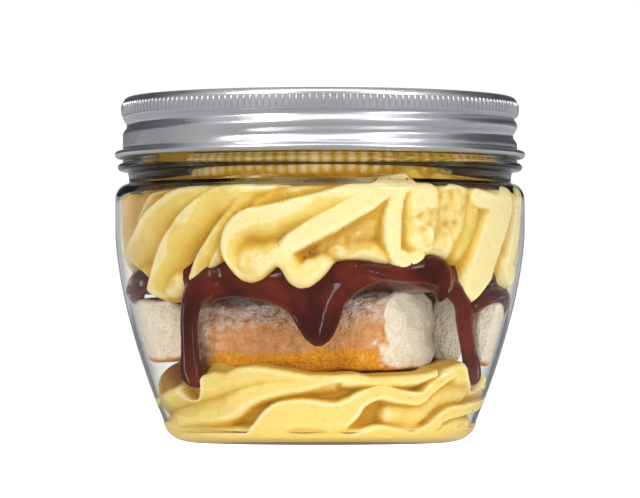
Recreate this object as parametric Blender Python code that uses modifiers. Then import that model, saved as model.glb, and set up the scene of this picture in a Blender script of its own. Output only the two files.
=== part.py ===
"""Layered banana split in a shut clear screw-lid jar.

A wide jar of clear plastic with a rolled aluminium screw lid holds four layers:
piped banana cream at the bottom, sponge fingers, chocolate sauce that runs down
over them, and piped banana cream up into the neck.  The axis of the jar is Z,
its base rests on z = 0 and its front faces -Y.  Angles are in degrees from the
front, positive towards +X.
"""

import math
import random
from collections import namedtuple

import bmesh
import bpy
import numpy as np

MM = 0.001
GAP = 0.3 * MM
WALL_GAP = 0.5 * MM

# Jar: outer surface from the resting ring up to the rim
JAR_SIDES = 48
JAR_WALL = 0.8 * MM
FOOT_INNER_RADIUS = 21.0 * MM
FOOT_RADIUS = 28.5 * MM
BASE_PUSH_UP = 0.7 * MM
BASE_THICKNESS = 1.2 * MM
HEEL_RADIUS = 35.1 * MM
HEEL_HEIGHT = 4.8 * MM
BELLY_RADIUS = 45.9 * MM
BELLY_HEIGHT = 47.1 * MM
BELLY_CURVE = 1.6
SHOULDER_HEIGHT = 54.4 * MM
NECK_RADIUS = 42.9 * MM
NECK_HEIGHT = 57.8 * MM
RING_RADIUS = 45.4 * MM
RING_BOTTOM = 60.7 * MM
RING_TOP = 62.3 * MM
STOP_RADIUS = 44.3 * MM
STOP_TOP = 63.1 * MM
FINISH_RADIUS = 42.2 * MM
RIM_HEIGHT = 75.6 * MM

# Lid: rolled sheet with a knurled grip, one rolled thread and a curled hem
LID_SIDES = 48
LID_SHEET = 0.5 * MM
LID_TOP = 77.2 * MM
LID_SKIRT_RADIUS = 44.2 * MM
LID_CORNER = 1.6 * MM
LID_HEM_RADIUS = 46.0 * MM
LID_HEM_BOTTOM = 63.5 * MM
LID_HEM_TOP = 65.1 * MM
THREAD_PITCH = 4.4 * MM
THREAD_DEPTH = 1.0 * MM
THREAD_HALF_WIDTH = 2.0 * MM
THREAD_START = (-40.0, 66.9 * MM)
THREAD_TURNS = 1.5
THREAD_RUN_OUT = 30.0
KNURL_COUNT = 190
KNURL_RADIUS = 44.9 * MM
KNURL_DEPTH = 0.35 * MM
KNURL_BOTTOM = 72.9 * MM
KNURL_TOP = 75.8 * MM

# Food layers
# Columns of points round a layer: close together at the front, wider apart behind
FRONT_HALF_ANGLE = 78.0
FRONT_COLUMNS = 44
BACK_COLUMNS = 22
LOWER_ROWS = 9
UPPER_ROWS = 13
FOOD_INSET = 3.4 * MM
LOWER_TOP = 15.4 * MM
LOWER_HIGHEST = 17.2 * MM
LOWER_MIDDLE = 13.3 * MM
SAUCE_UNDERSIDE = 34.0 * MM
SAUCE_SLOPE = 0.05
SAUCE_THICKNESS = 3.6 * MM
SAUCE_SKIN = 0.9 * MM
EDGE_CLEARANCE = 1.2 * MM
SHOULDER_REACH = 2.4 * MM
UPPER_TOP = 64.5 * MM
UPPER_TOP_RADIUS = 34.0 * MM

# A ridge of piped cream: how far its crest is pushed past the wall, its half
# widths to the left and the right of its path, and the path itself
Ridge = namedtuple("Ridge", "press left right path")
# A hanging tip of a layer's edge: its angle, half width in degrees and height
Lobe = namedtuple("Lobe", "angle half tip")
# A sponge finger: centre, size, turn about Z, lift of its right end, end slant
# and how far it stays from the wall
Finger = namedtuple("Finger", "centre size turn lift slant clearance")

LOWER_RIDGES = [
    Ridge(0.1 * MM, 5.0 * MM, 5.6 * MM, [(-84, 9.4), (-53, 12.0), (-27, 15.2), (-6, 14.8)]),
    Ridge(0.5 * MM, 5.6 * MM, 2.6 * MM, [(-92, 2.0), (-55, 5.2), (-33, 7.4), (-17, 11.5), (8, 14.4)]),
    Ridge(1.4 * MM, 3.8 * MM, 3.6 * MM,
          [(-27, -0.4), (-15, 5.9), (0, 6.5), (15, 10.2), (37, 10.3), (53, 17)]),
    Ridge(0.4 * MM, 4.4 * MM, 3.4 * MM, [(8, 14.6), (24, 14.2), (41, 15.8)]),
    Ridge(1.1 * MM, 2.8 * MM, 2.6 * MM, [(10, -0.8), (22, 2.6), (37, 1.6), (52, 6.5), (88, 9.4)]),
    Ridge(0.4 * MM, 4.6 * MM, 4.6 * MM, [(46, -0.6), (70, 3.6)]),
    Ridge(0.1 * MM, 5.4 * MM, 6.0 * MM, [(54, 15.8), (96, 11.0)]),
]
LOWER_EDGE_WAVES = [(1.2 * MM, 2, 6.0), (1.2 * MM, 5, -20.0)]

UPPER_RIDGES = [
    Ridge(-0.2 * MM, 9.5 * MM, 2.4 * MM, [(-30, 58.2), (-44, 55.5), (-57, 50.9), (-71, 43.7), (-86, 39.0)]),
    Ridge(0.1 * MM, 8.5 * MM, 2.2 * MM, [(-22, 58.0), (-33, 54.8), (-43, 49.4), (-52, 42.1), (-60, 34.0)]),
    Ridge(-0.5 * MM, 5.4 * MM, 2.2 * MM, [(-14, 57.4), (-24, 52.4), (-34, 43.6), (-41, 36.2)]),
    Ridge(0.3 * MM, 9.0 * MM, 2.0 * MM,
          [(20, 57.8), (4, 55), (-15, 51.2), (-26, 46.8), (-27, 40.1), (-22, 36)]),
    Ridge(0.3 * MM, 6.0 * MM, 5.6 * MM, [(-12, 40.6), (-21, 39.3)]),
    Ridge(1.2 * MM, 3.0 * MM, 3.2 * MM, [(26, 57.6), (12, 52.7), (1, 47.7), (-10, 41.2)]),
    Ridge(0.2 * MM, 4.2 * MM, 4.0 * MM, [(-9, 40.0), (-5, 36.6), (1, 38.8)]),
    Ridge(-1.4 * MM, 7.0 * MM, 7.0 * MM, [(3, 42.6), (17, 51.0)]),
    Ridge(1.0 * MM, 2.8 * MM, 2.8 * MM, [(26, 57.4), (21, 50.0), (22, 40.0)]),
    Ridge(0.3 * MM, 8.5 * MM, 8.5 * MM, [(34, 57.0), (35, 50.0), (32, 45.0)]),
    Ridge(0.6 * MM, 8.6 * MM, 4.4 * MM, [(64, 56.0), (55, 44.7), (51, 33.0)]),
    Ridge(1.0 * MM, 4.6 * MM, 4.6 * MM, [(76, 55.0), (72, 45.0), (70, 37.0)]),
    Ridge(0.0 * MM, 8.0 * MM, 8.0 * MM, [(94, 57.0), (86, 42.0)]),
]
UPPER_LOBES = [
    Lobe(-77, 13, 39.2), Lobe(-54, 11, 32.2), Lobe(-40, 8, 34.8), Lobe(-20.5, 7.6, 34.3),
    Lobe(-5.5, 7, 33.0), Lobe(23.5, 8, 37.0), Lobe(50, 10, 30.8), Lobe(70, 12, 33.6),
]
UPPER_EDGE = 40.6 * MM

SAUCE_LOBES = [
    Lobe(-84, 14, 33.8), Lobe(-38, 8, 30.6), Lobe(-24, 16, 31.8), Lobe(-12, 9, 30.0), Lobe(-0.5, 9, 21.4),
    Lobe(38, 14, 33.4), Lobe(58, 14, 33.6), Lobe(80, 12, 33.2),
]
SAUCE_EDGE = 36.6 * MM
DRIP_THICKNESS = 1.25 * MM
DRIP_CLEARANCE = 3.0 * MM
# Stations of a drip: angle, height, half width and depth behind the skin of the wall
LEFT_DRIP = [
    (-33, 35.0, 2.6, 2.6), (-38, 31.6, 2.8, 0.4), (-43, 28.0, 2.5, 0.0), (-46, 23.4, 2.2, 0.0),
    (-48, 18.5, 2.8, 0.0), (-50.4, 14.6, 3.2, 0.2),
]
RIGHT_DRIP = [
    (37, 35.4, 2.4, 3.0), (40, 32.4, 2.3, 1.4), (44, 29.8, 2.2, 0.3), (49, 27.2, 2.0, 0.0),
    (53, 24.2, 2.0, 0.0), (57.8, 20.2, 2.0, 0.0), (62.4, 17.2, 2.3, 0.0), (65.5, 15.0, 2.0, 0.2),
]

FINGERS = {
    "sponge_front": Finger((-2.7, -20.5, 24.2), (45.6, 21.6, 18.2), 12.0, 2.8, 20.0, 3.8),
    "sponge_left": Finger((-35.8, 2.0, 25.2), (34.0, 15.0, 14.4), 92.0, 0.0, 6.0, 0.9),
    "sponge_right": Finger((38.4, 3.0, 24.8), (34.0, 10.4, 15.0), 87.0, 0.0, 4.0, 0.9),
    "sponge_inner_right": Finger((27.4, -2.6, 25.4), (17.0, 7.2, 15.6), 86.0, 0.0, 8.0, 3.8),
    "sponge_back": Finger((1.6, 21.8, 24.2), (50.0, 21.0, 16.4), 186.0, -1.0, 12.0, 3.8),
}

# Linear colours
CLEAR_PLASTIC = (0.90, 0.92, 0.93, 1.0)
SATIN_ALUMINIUM = (0.62, 0.63, 0.64, 1.0)
BANANA_CREAM = (0.84, 0.62, 0.22, 1.0)
CHOCOLATE = (0.060, 0.012, 0.006, 1.0)
SPONGE = (0.72, 0.50, 0.30, 1.0)


def clear_scene():
    for obj in list(bpy.data.objects):
        bpy.data.objects.remove(obj, do_unlink=True)


def make_collection(name):
    collection = bpy.data.collections.new(name)
    bpy.context.scene.collection.children.link(collection)
    return collection


def make_material(name, colour, roughness, metallic=0.0, transmission=0.0):
    material = bpy.data.materials.new(name)
    material.use_nodes = True
    shader = material.node_tree.nodes["Principled BSDF"]
    shader.inputs["Base Color"].default_value = colour
    shader.inputs["Roughness"].default_value = roughness
    shader.inputs["Metallic"].default_value = metallic
    shader.inputs["Transmission Weight"].default_value = transmission
    return material


def add_object(name, mesh, collection, material):
    obj = bpy.data.objects.new(name, mesh)
    collection.objects.link(obj)
    if material is not None:
        mesh.materials.append(material)
    return obj


def mesh_from_bmesh(name, shape):
    bmesh.ops.recalc_face_normals(shape, faces=shape.faces)
    mesh = bpy.data.meshes.new(name)
    shape.to_mesh(mesh)
    shape.free()
    return mesh


def smooth(obj, angle=35.0):
    obj.data.shade_smooth()
    obj.data.set_sharp_from_angle(angle=math.radians(angle))


def wall_point(angle, radius, height):
    turn = math.radians(angle)
    return radius * math.sin(turn), -radius * math.cos(turn), height


def turned(name, profile, sides, collection, material):
    """A turned solid from (radius, height) points that run down its outer side and end on the axis."""
    shape = bmesh.new()
    points = [shape.verts.new((radius, 0.0, height)) for radius, height in profile]
    for first, second in zip(points, points[1:]):
        shape.edges.new((first, second))
    mesh = bpy.data.meshes.new(name)
    shape.to_mesh(mesh)
    shape.free()
    obj = add_object(name, mesh, collection, material)
    screw = obj.modifiers.new("Turn", "SCREW")
    screw.axis = "Z"
    screw.steps = sides
    screw.render_steps = sides
    screw.use_merge_vertices = True
    screw.merge_threshold = 0.01 * MM
    return obj


def apply_modifiers(obj):
    """Replace the object's mesh by its evaluated one."""
    depsgraph = bpy.context.evaluated_depsgraph_get()
    mesh = bpy.data.meshes.new_from_object(obj.evaluated_get(depsgraph))
    obj.modifiers.clear()
    obj.data = mesh


def combine(obj, other, operation, solver="EXACT"):
    """Apply one Boolean and drop its second object."""
    cut = obj.modifiers.new(operation.title(), "BOOLEAN")
    cut.operation = operation
    cut.solver = solver
    cut.object = other
    apply_modifiers(obj)
    bpy.data.objects.remove(other, do_unlink=True)


def lofted(name, rings, collection, material):
    """A closed solid through rings of equal point counts, with a flat cap on each end."""
    shape = bmesh.new()
    loops = [[shape.verts.new(point) for point in ring] for ring in rings]
    count = len(loops[0])
    for lower, upper in zip(loops, loops[1:]):
        for i in range(count):
            j = (i + 1) % count
            shape.faces.new((lower[i], lower[j], upper[j], upper[i]))
    shape.faces.new(list(reversed(loops[0])))
    shape.faces.new(loops[-1])
    obj = add_object(name, mesh_from_bmesh(name, shape), collection, material)
    smooth(obj, 60.0)
    return obj


# ---------------------------------------------------------------- jar and lid

def body_radius(height):
    """Outer radius of the jar between the heel and the shoulder."""
    drop = (BELLY_HEIGHT - min(height, BELLY_HEIGHT)) / (BELLY_HEIGHT - HEEL_HEIGHT)
    return BELLY_RADIUS - (BELLY_RADIUS - HEEL_RADIUS) * max(drop, 0.0) ** BELLY_CURVE


def corner(centre, radii, start, end, steps):
    """Points of an elliptic arc, as (radius, height), angles in degrees from +radius."""
    points = []
    for i in range(steps + 1):
        turn = math.radians(start + (end - start) * i / steps)
        points.append((centre[0] + radii[0] * math.cos(turn), centre[1] + radii[1] * math.sin(turn)))
    return points


def jar_outer_profile():
    """Outer side of the jar from the rim down to the resting ring."""
    shoulder = (NECK_RADIUS, SHOULDER_HEIGHT)
    shoulder_size = (BELLY_RADIUS - NECK_RADIUS, NECK_HEIGHT - SHOULDER_HEIGHT)
    heel_steps = 6
    heights = [BELLY_HEIGHT + (HEEL_HEIGHT - BELLY_HEIGHT) * i / heel_steps for i in range(heel_steps + 1)]
    profile = [
        (FINISH_RADIUS, RIM_HEIGHT),
        (FINISH_RADIUS, STOP_TOP),
        (STOP_RADIUS, STOP_TOP),
        (STOP_RADIUS, RING_TOP),
        (RING_RADIUS, RING_TOP),
        (RING_RADIUS, RING_BOTTOM),
        (NECK_RADIUS, RING_BOTTOM - 0.3 * MM),
    ]
    profile += corner(shoulder, shoulder_size, 90.0, 0.0, 4)
    profile += [(body_radius(height), height) for height in heights]
    heel_curve = (HEEL_RADIUS - FOOT_RADIUS, HEEL_HEIGHT)
    profile += corner((FOOT_RADIUS, HEEL_HEIGHT), heel_curve, 0.0, -90.0, 4)[1:]
    return profile


def inner_radius(height):
    """Inner radius of the jar at a height."""
    if height >= NECK_HEIGHT - JAR_WALL:
        return FINISH_RADIUS - JAR_WALL
    if height >= SHOULDER_HEIGHT:
        rise = (height - SHOULDER_HEIGHT) / (NECK_HEIGHT - JAR_WALL - SHOULDER_HEIGHT)
        reach = BELLY_RADIUS - FINISH_RADIUS
        return FINISH_RADIUS - JAR_WALL + reach * math.sqrt(max(1.0 - rise * rise, 0.0))
    if height >= HEEL_HEIGHT:
        return body_radius(height) - JAR_WALL
    floor = BASE_PUSH_UP + BASE_THICKNESS
    rise = min(max((HEEL_HEIGHT - height) / (HEEL_HEIGHT - floor), 0.0), 1.0)
    reach = HEEL_RADIUS - JAR_WALL - FOOT_RADIUS
    return FOOT_RADIUS + reach * math.sqrt(1.0 - rise * rise)


def jar_inner_profile(clearance=0.0):
    """Inner side of the jar from the floor up to the rim, moved inwards by a clearance."""
    floor = BASE_PUSH_UP + BASE_THICKNESS
    heights = [floor + clearance, floor + 0.3 * MM + clearance, floor + 1.2 * MM, HEEL_HEIGHT]
    heights += [HEEL_HEIGHT + (BELLY_HEIGHT - HEEL_HEIGHT) * i / 6 for i in range(1, 7)]
    heights += [SHOULDER_HEIGHT, 55.5 * MM, 56.4 * MM, NECK_HEIGHT - JAR_WALL]
    return [(inner_radius(height - clearance) - clearance, height) for height in heights]


def build_jar(collection):
    inner = jar_inner_profile()
    profile = [(0.0, inner[0][1])] + inner + [(FINISH_RADIUS - JAR_WALL, RIM_HEIGHT)]
    profile += jar_outer_profile()
    profile.append((FOOT_INNER_RADIUS, 0.0))
    profile.append((FOOT_INNER_RADIUS - BASE_PUSH_UP, BASE_PUSH_UP))
    profile.append((0.0, BASE_PUSH_UP))
    plastic = make_material("jar", CLEAR_PLASTIC, 0.05, 0.0, 1.0)
    jar = turned("jar", profile, JAR_SIDES, collection, plastic)
    apply_modifiers(jar)
    smooth(jar)
    return jar


def thread_drop(angle, height):
    """Depth of the lid's rolled thread at a place on its skirt."""
    first_angle, first_height = THREAD_START
    best = 0.0
    for turn in range(-1, 3):
        along = (angle - first_angle) + 360.0 * turn
        if not 0.0 <= along <= 360.0 * THREAD_TURNS:
            continue
        centre = first_height + THREAD_PITCH * along / 360.0
        run_out = min(along, 360.0 * THREAD_TURNS - along) / THREAD_RUN_OUT
        depth = THREAD_DEPTH * min(run_out, 1.0)
        offset = abs(height - centre) / THREAD_HALF_WIDTH
        best = max(best, depth * max(1.0 - offset, 0.0))
    return best


def skirt_profile(inset):
    """Skirt of the lid from its top corner down to the hem, moved inwards by an inset."""
    corner_centre = (LID_SKIRT_RADIUS - LID_CORNER, LID_TOP - LID_CORNER)
    size = LID_CORNER - inset
    rows = 6
    top = KNURL_BOTTOM - 0.5 * MM
    bottom = LID_HEM_TOP + 0.4 * MM
    profile = [(0.0, LID_TOP - inset)]
    profile += corner(corner_centre, (size, size), 90.0, 0.0, 3)
    profile += [(LID_SKIRT_RADIUS - inset, top + (bottom - top) * i / rows) for i in range(rows + 1)]
    return profile


def roll_thread(obj):
    """Press the thread into the skirt of a turned lid solid."""
    for vertex in obj.data.vertices:
        x, y, z = vertex.co
        radius = math.hypot(x, y)
        if radius < LID_SKIRT_RADIUS - 1.5 * MM or not LID_HEM_TOP < z < KNURL_BOTTOM:
            continue
        angle = math.degrees(math.atan2(x, -y))
        drop = thread_drop(angle, z)
        vertex.co.x = x * (radius - drop) / radius
        vertex.co.y = y * (radius - drop) / radius


def build_lid(collection):
    hem_middle = 0.5 * (LID_HEM_TOP + LID_HEM_BOTTOM)
    hem_half = 0.5 * (LID_HEM_TOP - LID_HEM_BOTTOM)
    hem = corner((LID_HEM_RADIUS - hem_half, hem_middle), (hem_half, hem_half), 70.0, -90.0, 4)
    outer = skirt_profile(0.0) + hem + [(0.0, LID_HEM_BOTTOM)]
    aluminium = make_material("lid", SATIN_ALUMINIUM, 0.35, 1.0)
    lid = turned("lid", outer, LID_SIDES, collection, aluminium)
    apply_modifiers(lid)
    roll_thread(lid)

    shape = bmesh.new()
    bmesh.ops.create_cone(
        shape, cap_ends=True, segments=2 * KNURL_COUNT, radius1=KNURL_RADIUS, radius2=KNURL_RADIUS,
        depth=KNURL_TOP - KNURL_BOTTOM,
    )
    bmesh.ops.translate(shape, verts=shape.verts, vec=(0.0, 0.0, 0.5 * (KNURL_TOP + KNURL_BOTTOM)))
    for vertex in shape.verts:
        place = round(math.atan2(vertex.co.y, vertex.co.x) / math.pi * KNURL_COUNT)
        if place % 2:
            vertex.co.xy *= (KNURL_RADIUS - KNURL_DEPTH) / KNURL_RADIUS
    knurls = add_object("knurls", mesh_from_bmesh("knurls", shape), collection, None)
    combine(lid, knurls, "UNION")

    inner = skirt_profile(LID_SHEET) + [(LID_SKIRT_RADIUS - LID_SHEET, LID_HEM_BOTTOM - 1.0 * MM)]
    inner += [(0.0, LID_HEM_BOTTOM - 1.0 * MM)]
    hollow = turned("hollow", inner, LID_SIDES, collection, None)
    apply_modifiers(hollow)
    roll_thread(hollow)
    combine(lid, hollow, "DIFFERENCE")
    smooth(lid, 20.0)
    return lid


# ---------------------------------------------------------------- piped cream

def smooth_path(points, steps=6):
    """A smooth curve through the points, as an array with steps samples a span."""
    points = np.array(points, float)
    padded = np.vstack([2 * points[0] - points[1], points, 2 * points[-1] - points[-2]])
    samples = []
    for i in range(1, len(padded) - 2):
        before, start, end, after = padded[i - 1:i + 3]
        for t in np.linspace(0.0, 1.0, steps, endpoint=False):
            bend = 2 * before - 5 * start + 4 * end - after
            twist = 3 * start - before - 3 * end + after
            samples.append(0.5 * (2 * start + (end - before) * t + bend * t ** 2 + twist * t ** 3))
    samples.append(points[-1])
    return np.array(samples)


def ridge_bulge(ridge, angle, height):
    """How far a ridge stands past the wall at a place: its press on the path, round off it."""
    path = smooth_path(ridge.path)
    path[:, 0] = np.radians(path[:, 0]) * BELLY_RADIUS
    path[:, 1] *= MM
    around = (angle - ridge.path[0][0] + 180.0) % 360.0 - 180.0 + ridge.path[0][0]
    place = np.array([math.radians(around) * BELLY_RADIUS, height])
    start, step = path[:-1], np.diff(path, axis=0)
    share = np.clip(np.sum((place - start) * step, axis=1) / np.sum(step * step, axis=1), 0.0, 1.0)
    offset = place - (start + share[:, None] * step)
    distance = np.hypot(offset[:, 0], offset[:, 1])
    nearest = int(np.argmin(distance))
    side = step[nearest][0] * offset[nearest][1] - step[nearest][1] * offset[nearest][0]
    width = ridge.left if side > 0.0 else ridge.right
    across = distance[nearest] / width
    if across < 1.0:
        return ridge.press - 0.9 * width * (1.0 - math.sqrt(1.0 - across * across))
    return ridge.press - 0.9 * width - 2.0 * (distance[nearest] - width)


def mirrored_ridges(ridges, turn):
    """The ridges of the front repeated round the back, turned by an angle."""
    turned = []
    for ridge in ridges:
        path = [(angle + turn, height) for angle, height in ridge.path]
        turned.append(ridge._replace(path=path))
    return turned


def piped_radius(ridges, angle, height, valley):
    """Radius of a piped surface, pressed flat where it meets the wall."""
    wall = min(inner_radius(height), inner_radius(height + SHOULDER_REACH)) - WALL_GAP
    bulge = max(ridge_bulge(ridge, angle, height) for ridge in ridges)
    return wall + min(max(bulge, -valley), 0.0)


def edge_height(lobes, rest, angle):
    """Height of a layer's edge that hangs down in round lobes from a level."""
    height = rest
    for lobe in lobes:
        away = abs((angle - lobe.angle + 180.0) % 360.0 - 180.0) / lobe.half
        if away < 1.0:
            tip = lobe.tip * MM
            height = min(height, tip + (rest - tip) * (1.0 - math.sqrt(1.0 - away * away)))
    return height


def column_angles():
    """Angles of a layer's columns, once round the jar."""
    front_step = 2.0 * FRONT_HALF_ANGLE / FRONT_COLUMNS
    back_step = (360.0 - 2.0 * FRONT_HALF_ANGLE) / BACK_COLUMNS
    front = [-FRONT_HALF_ANGLE + front_step * i for i in range(FRONT_COLUMNS)]
    back = [FRONT_HALF_ANGLE + back_step * i for i in range(BACK_COLUMNS)]
    return front + back


def back_and_front(lobes):
    """The lobes of the front, and the same ones once more round the back."""
    return lobes + [lobe._replace(angle=lobe.angle + 180.0) for lobe in lobes]


ALL_UPPER_LOBES = back_and_front(UPPER_LOBES)
ALL_SAUCE_LOBES = back_and_front(SAUCE_LOBES)


def lower_edge(angle):
    """Height of the lower cream at the wall."""
    height = LOWER_TOP
    for size, count, start in LOWER_EDGE_WAVES:
        height += size * math.cos(math.radians(count * (angle - start)))
    return min(height, LOWER_HIGHEST)


def drip_covers(angle, height):
    """True where a chocolate drip lies between the cream and the wall."""
    for stations in (LEFT_DRIP, RIGHT_DRIP):
        for drip_angle, drip_height, half, _ in smooth_path(stations, steps=3):
            across = math.radians(angle - drip_angle) * BELLY_RADIUS
            if math.hypot(across, height - drip_height * MM) < half * MM + DRIP_CLEARANCE:
                return True
    return False


def lower_radius(ridges, angle, height):
    """Radius of the lower cream, set back behind the feet of the drips."""
    radius = piped_radius(ridges, angle, height, 2.6 * MM)
    if drip_covers(angle, height):
        radius = min(radius, food_radius(height) - 0.4 * MM)
    return radius


def build_lower_cream(collection):
    ridges = LOWER_RIDGES + mirrored_ridges(LOWER_RIDGES, 180.0)
    floor = BASE_PUSH_UP + BASE_THICKNESS + GAP
    angles = column_angles()
    rings = [[wall_point(angle, 0.6 * FOOT_RADIUS, floor) for angle in angles]]
    for row in range(LOWER_ROWS + 1):
        ring = []
        for angle in angles:
            top = lower_edge(angle)
            height = floor + (top - floor) * (row / LOWER_ROWS) ** 0.9
            ring.append(wall_point(angle, lower_radius(ridges, angle, height), height))
        rings.append(ring)
    behind = food_radius(LOWER_TOP)
    rings.append([wall_point(angle, behind + 0.9 * MM, lower_edge(angle) - 0.5 * MM) for angle in angles])
    rings.append([wall_point(angle, behind - 0.2 * MM, LOWER_MIDDLE) for angle in angles])
    rings.append([wall_point(angle, 0.5 * behind, LOWER_MIDDLE) for angle in angles])
    cream = make_material("cream_lower", BANANA_CREAM, 0.5)
    return lofted("cream_lower", rings, collection, cream)


# ---------------------------------------------------------------- sauce

def sauce_underside(x):
    return SAUCE_UNDERSIDE + SAUCE_SLOPE * min(max(x, -15.0 * MM), 25.0 * MM)


def sauce_topside(angle, radius):
    x = radius * math.sin(math.radians(angle))
    return sauce_underside(x) + SAUCE_THICKNESS


def food_radius(height):
    """Radius of what lies behind the hanging lobes and drips."""
    return inner_radius(height) - FOOD_INSET


def sauce_rings():
    """Rings of the sauce layer: its underside, its hanging lip and its top."""
    angles = column_angles()
    rings = [[] for _ in range(9)]
    beside = (360.0 - 2.0 * FRONT_HALF_ANGLE) / BACK_COLUMNS
    for angle in angles:
        near = (angle - beside, angle, angle + beside)
        cream_edge = min(edge_height(ALL_UPPER_LOBES, UPPER_EDGE, place) for place in near)
        tip = edge_height(ALL_SAUCE_LOBES, SAUCE_EDGE, angle)
        core = food_radius(SAUCE_UNDERSIDE)
        under = sauce_underside(core * math.sin(math.radians(angle)))
        top = sauce_topside(angle, core)
        shoulder = min(cream_edge - EDGE_CLEARANCE, top - 0.4 * MM)
        inner = 0.4 * core
        rings[0].append(wall_point(angle, inner, sauce_underside(inner * math.sin(math.radians(angle)))))
        rings[1].append(wall_point(angle, core - 1.2 * MM, under))
        hangs = tip < shoulder - 1.2 * MM
        if hangs:
            back = inner_radius(tip) - 3.0 * MM
            front = inner_radius(0.5 * (tip + shoulder)) - SAUCE_SKIN
            rings[2].append(wall_point(angle, min(back, core), min(tip + 0.4 * MM, under)))
            rings[3].append(wall_point(angle, inner_radius(tip) - 1.6 * MM, tip))
            rings[4].append(wall_point(angle, front, tip + 0.35 * (shoulder - tip)))
            rings[5].append(wall_point(angle, front, tip + 0.8 * (shoulder - tip)))
            rings[6].append(wall_point(angle, core, shoulder))
        else:
            shoulder = max(shoulder, under + 0.3 * MM)
            for row in range(2, 7):
                rings[row].append(wall_point(angle, core, under + (shoulder - under) * (row - 1) / 5))
        rings[7].append(wall_point(angle, core - 0.8 * MM, top))
        rings[8].append(wall_point(angle, 0.4 * core, sauce_topside(angle, 0.4 * core)))
    return rings


def drip_rings(stations):
    """Rings round a flat drip that runs down the inside of the wall."""
    path = smooth_path(stations, steps=2)
    rings = []
    corners = 8
    ends = [0.45] + [1.0] * (len(path) - 2) + [0.45]
    for (angle, height, half, depth), shrink in zip(path, ends):
        radius = inner_radius(height * MM) - SAUCE_SKIN - DRIP_THICKNESS - depth * MM
        ring = []
        for i in range(corners):
            turn = 2.0 * math.pi * i / corners
            side = math.degrees(half * MM * shrink * math.cos(turn) / radius)
            swell = DRIP_THICKNESS * shrink * math.sin(turn)
            ring.append(wall_point(angle + side, radius + swell, height * MM))
        rings.append(ring)
    return rings


def build_sauce(collection):
    chocolate = make_material("chocolate_sauce", CHOCOLATE, 0.25)
    sauce = lofted("chocolate_sauce", sauce_rings(), collection, chocolate)
    for number, stations in enumerate((LEFT_DRIP, RIGHT_DRIP)):
        drip = lofted(f"drip_{number}", drip_rings(stations), collection, None)
        combine(sauce, drip, "UNION")
    smooth(sauce, 60.0)
    return sauce


def build_upper_cream(collection):
    ridges = UPPER_RIDGES + mirrored_ridges(UPPER_RIDGES, 180.0)
    angles = column_angles()
    rings = [[] for _ in range(UPPER_ROWS + 6)]
    for angle in angles:
        edge = edge_height(ALL_UPPER_LOBES, UPPER_EDGE, angle)
        core = food_radius(SAUCE_UNDERSIDE) + 2 * GAP
        shelf = sauce_topside(angle, core) + GAP
        rings[0].append(wall_point(angle, 0.4 * core, sauce_topside(angle, 0.4 * core) + GAP))
        rings[1].append(wall_point(angle, core - 0.8 * MM, shelf))
        rings[2].append(wall_point(angle, core, min(edge + 0.6 * MM, shelf - 0.2 * MM)))
        top = NECK_HEIGHT + 1.0 * MM
        for row in range(UPPER_ROWS + 1):
            height = edge + (top - edge) * (row / UPPER_ROWS) ** 0.9
            radius = piped_radius(ridges, angle, height, 3.0 * MM)
            if row == 0:
                radius = core + 0.4 * (radius - core)
            rings[3 + row].append(wall_point(angle, max(radius, core + 0.4 * MM), height))
        rings[UPPER_ROWS + 4].append(wall_point(angle, UPPER_TOP_RADIUS + 3.0 * MM, NECK_HEIGHT + 4.0 * MM))
        rings[UPPER_ROWS + 5].append(wall_point(angle, 0.6 * UPPER_TOP_RADIUS, UPPER_TOP))
    cream = make_material("cream_upper", BANANA_CREAM, 0.5)
    return lofted("cream_upper", rings, collection, cream)


# ---------------------------------------------------------------- sponge

def finger_section(size, swell, corners=12):
    """Outline of a sponge finger: flat underneath, domed on top, as (across, up) points."""
    width, height = size
    outline = []
    for i in range(corners):
        turn = 2.0 * math.pi * (i + 0.5) / corners
        across = math.copysign(abs(math.cos(turn)) ** 0.55, math.cos(turn))
        up = math.sin(turn)
        up = up ** 0.8 if up > 0.0 else -abs(up) ** 0.35
        outline.append((0.5 * width * across * swell, 0.5 * height * up * swell))
    return outline


def jar_inside(clearance, collection):
    """The room inside the jar below its shoulder, less a clearance from the wall."""
    profile = [point for point in reversed(jar_inner_profile(clearance)) if point[1] < SHOULDER_HEIGHT]
    outline = [(0.0, profile[0][1])] + profile + [(0.0, profile[-1][1])]
    inside = turned("jar_inside", outline, JAR_SIDES, collection, None)
    apply_modifiers(inside)
    return inside


def build_finger(name, finger, collection, cutters, seed):
    """A sponge finger of flat underside and domed crust, cut to the inside of the jar."""
    draw = random.Random(seed)
    length, width, height = (value * MM for value in finger.size)
    stations = 7
    slant = math.tan(math.radians(finger.slant))
    lift = math.tan(math.radians(finger.lift))
    rings = []
    for station in range(stations):
        along = length * (station / (stations - 1) - 0.5)
        end = station in (0, stations - 1)
        swell = (0.94 if end else 1.0) + draw.uniform(-0.012, 0.012)
        ring = []
        for across, up in finger_section((width, height), swell):
            shift = across * slant if station == stations - 1 else 0.0
            ring.append((along + shift, across, up + lift * along))
        rings.append(ring)
    sponge = make_material(name, SPONGE, 0.85)
    obj = lofted(name, rings, collection, sponge)
    turn = math.radians(-finger.turn)
    cos, sin = math.cos(turn), math.sin(turn)
    centre = [value * MM for value in finger.centre]
    for vertex in obj.data.vertices:
        x, y, z = vertex.co
        vertex.co = (centre[0] + x * cos - y * sin, centre[1] + x * sin + y * cos, centre[2] + z)
    combine(obj, jar_inside(finger.clearance * MM, cutters), "INTERSECT")
    smooth(obj, 40.0)
    return obj


def build_sponges(collection, cutters):
    """All sponge fingers, kept clear of the wall, the cream below and the sauce above."""
    for seed, (name, finger) in enumerate(FINGERS.items()):
        build_finger(name, finger, collection, cutters, seed)


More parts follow.
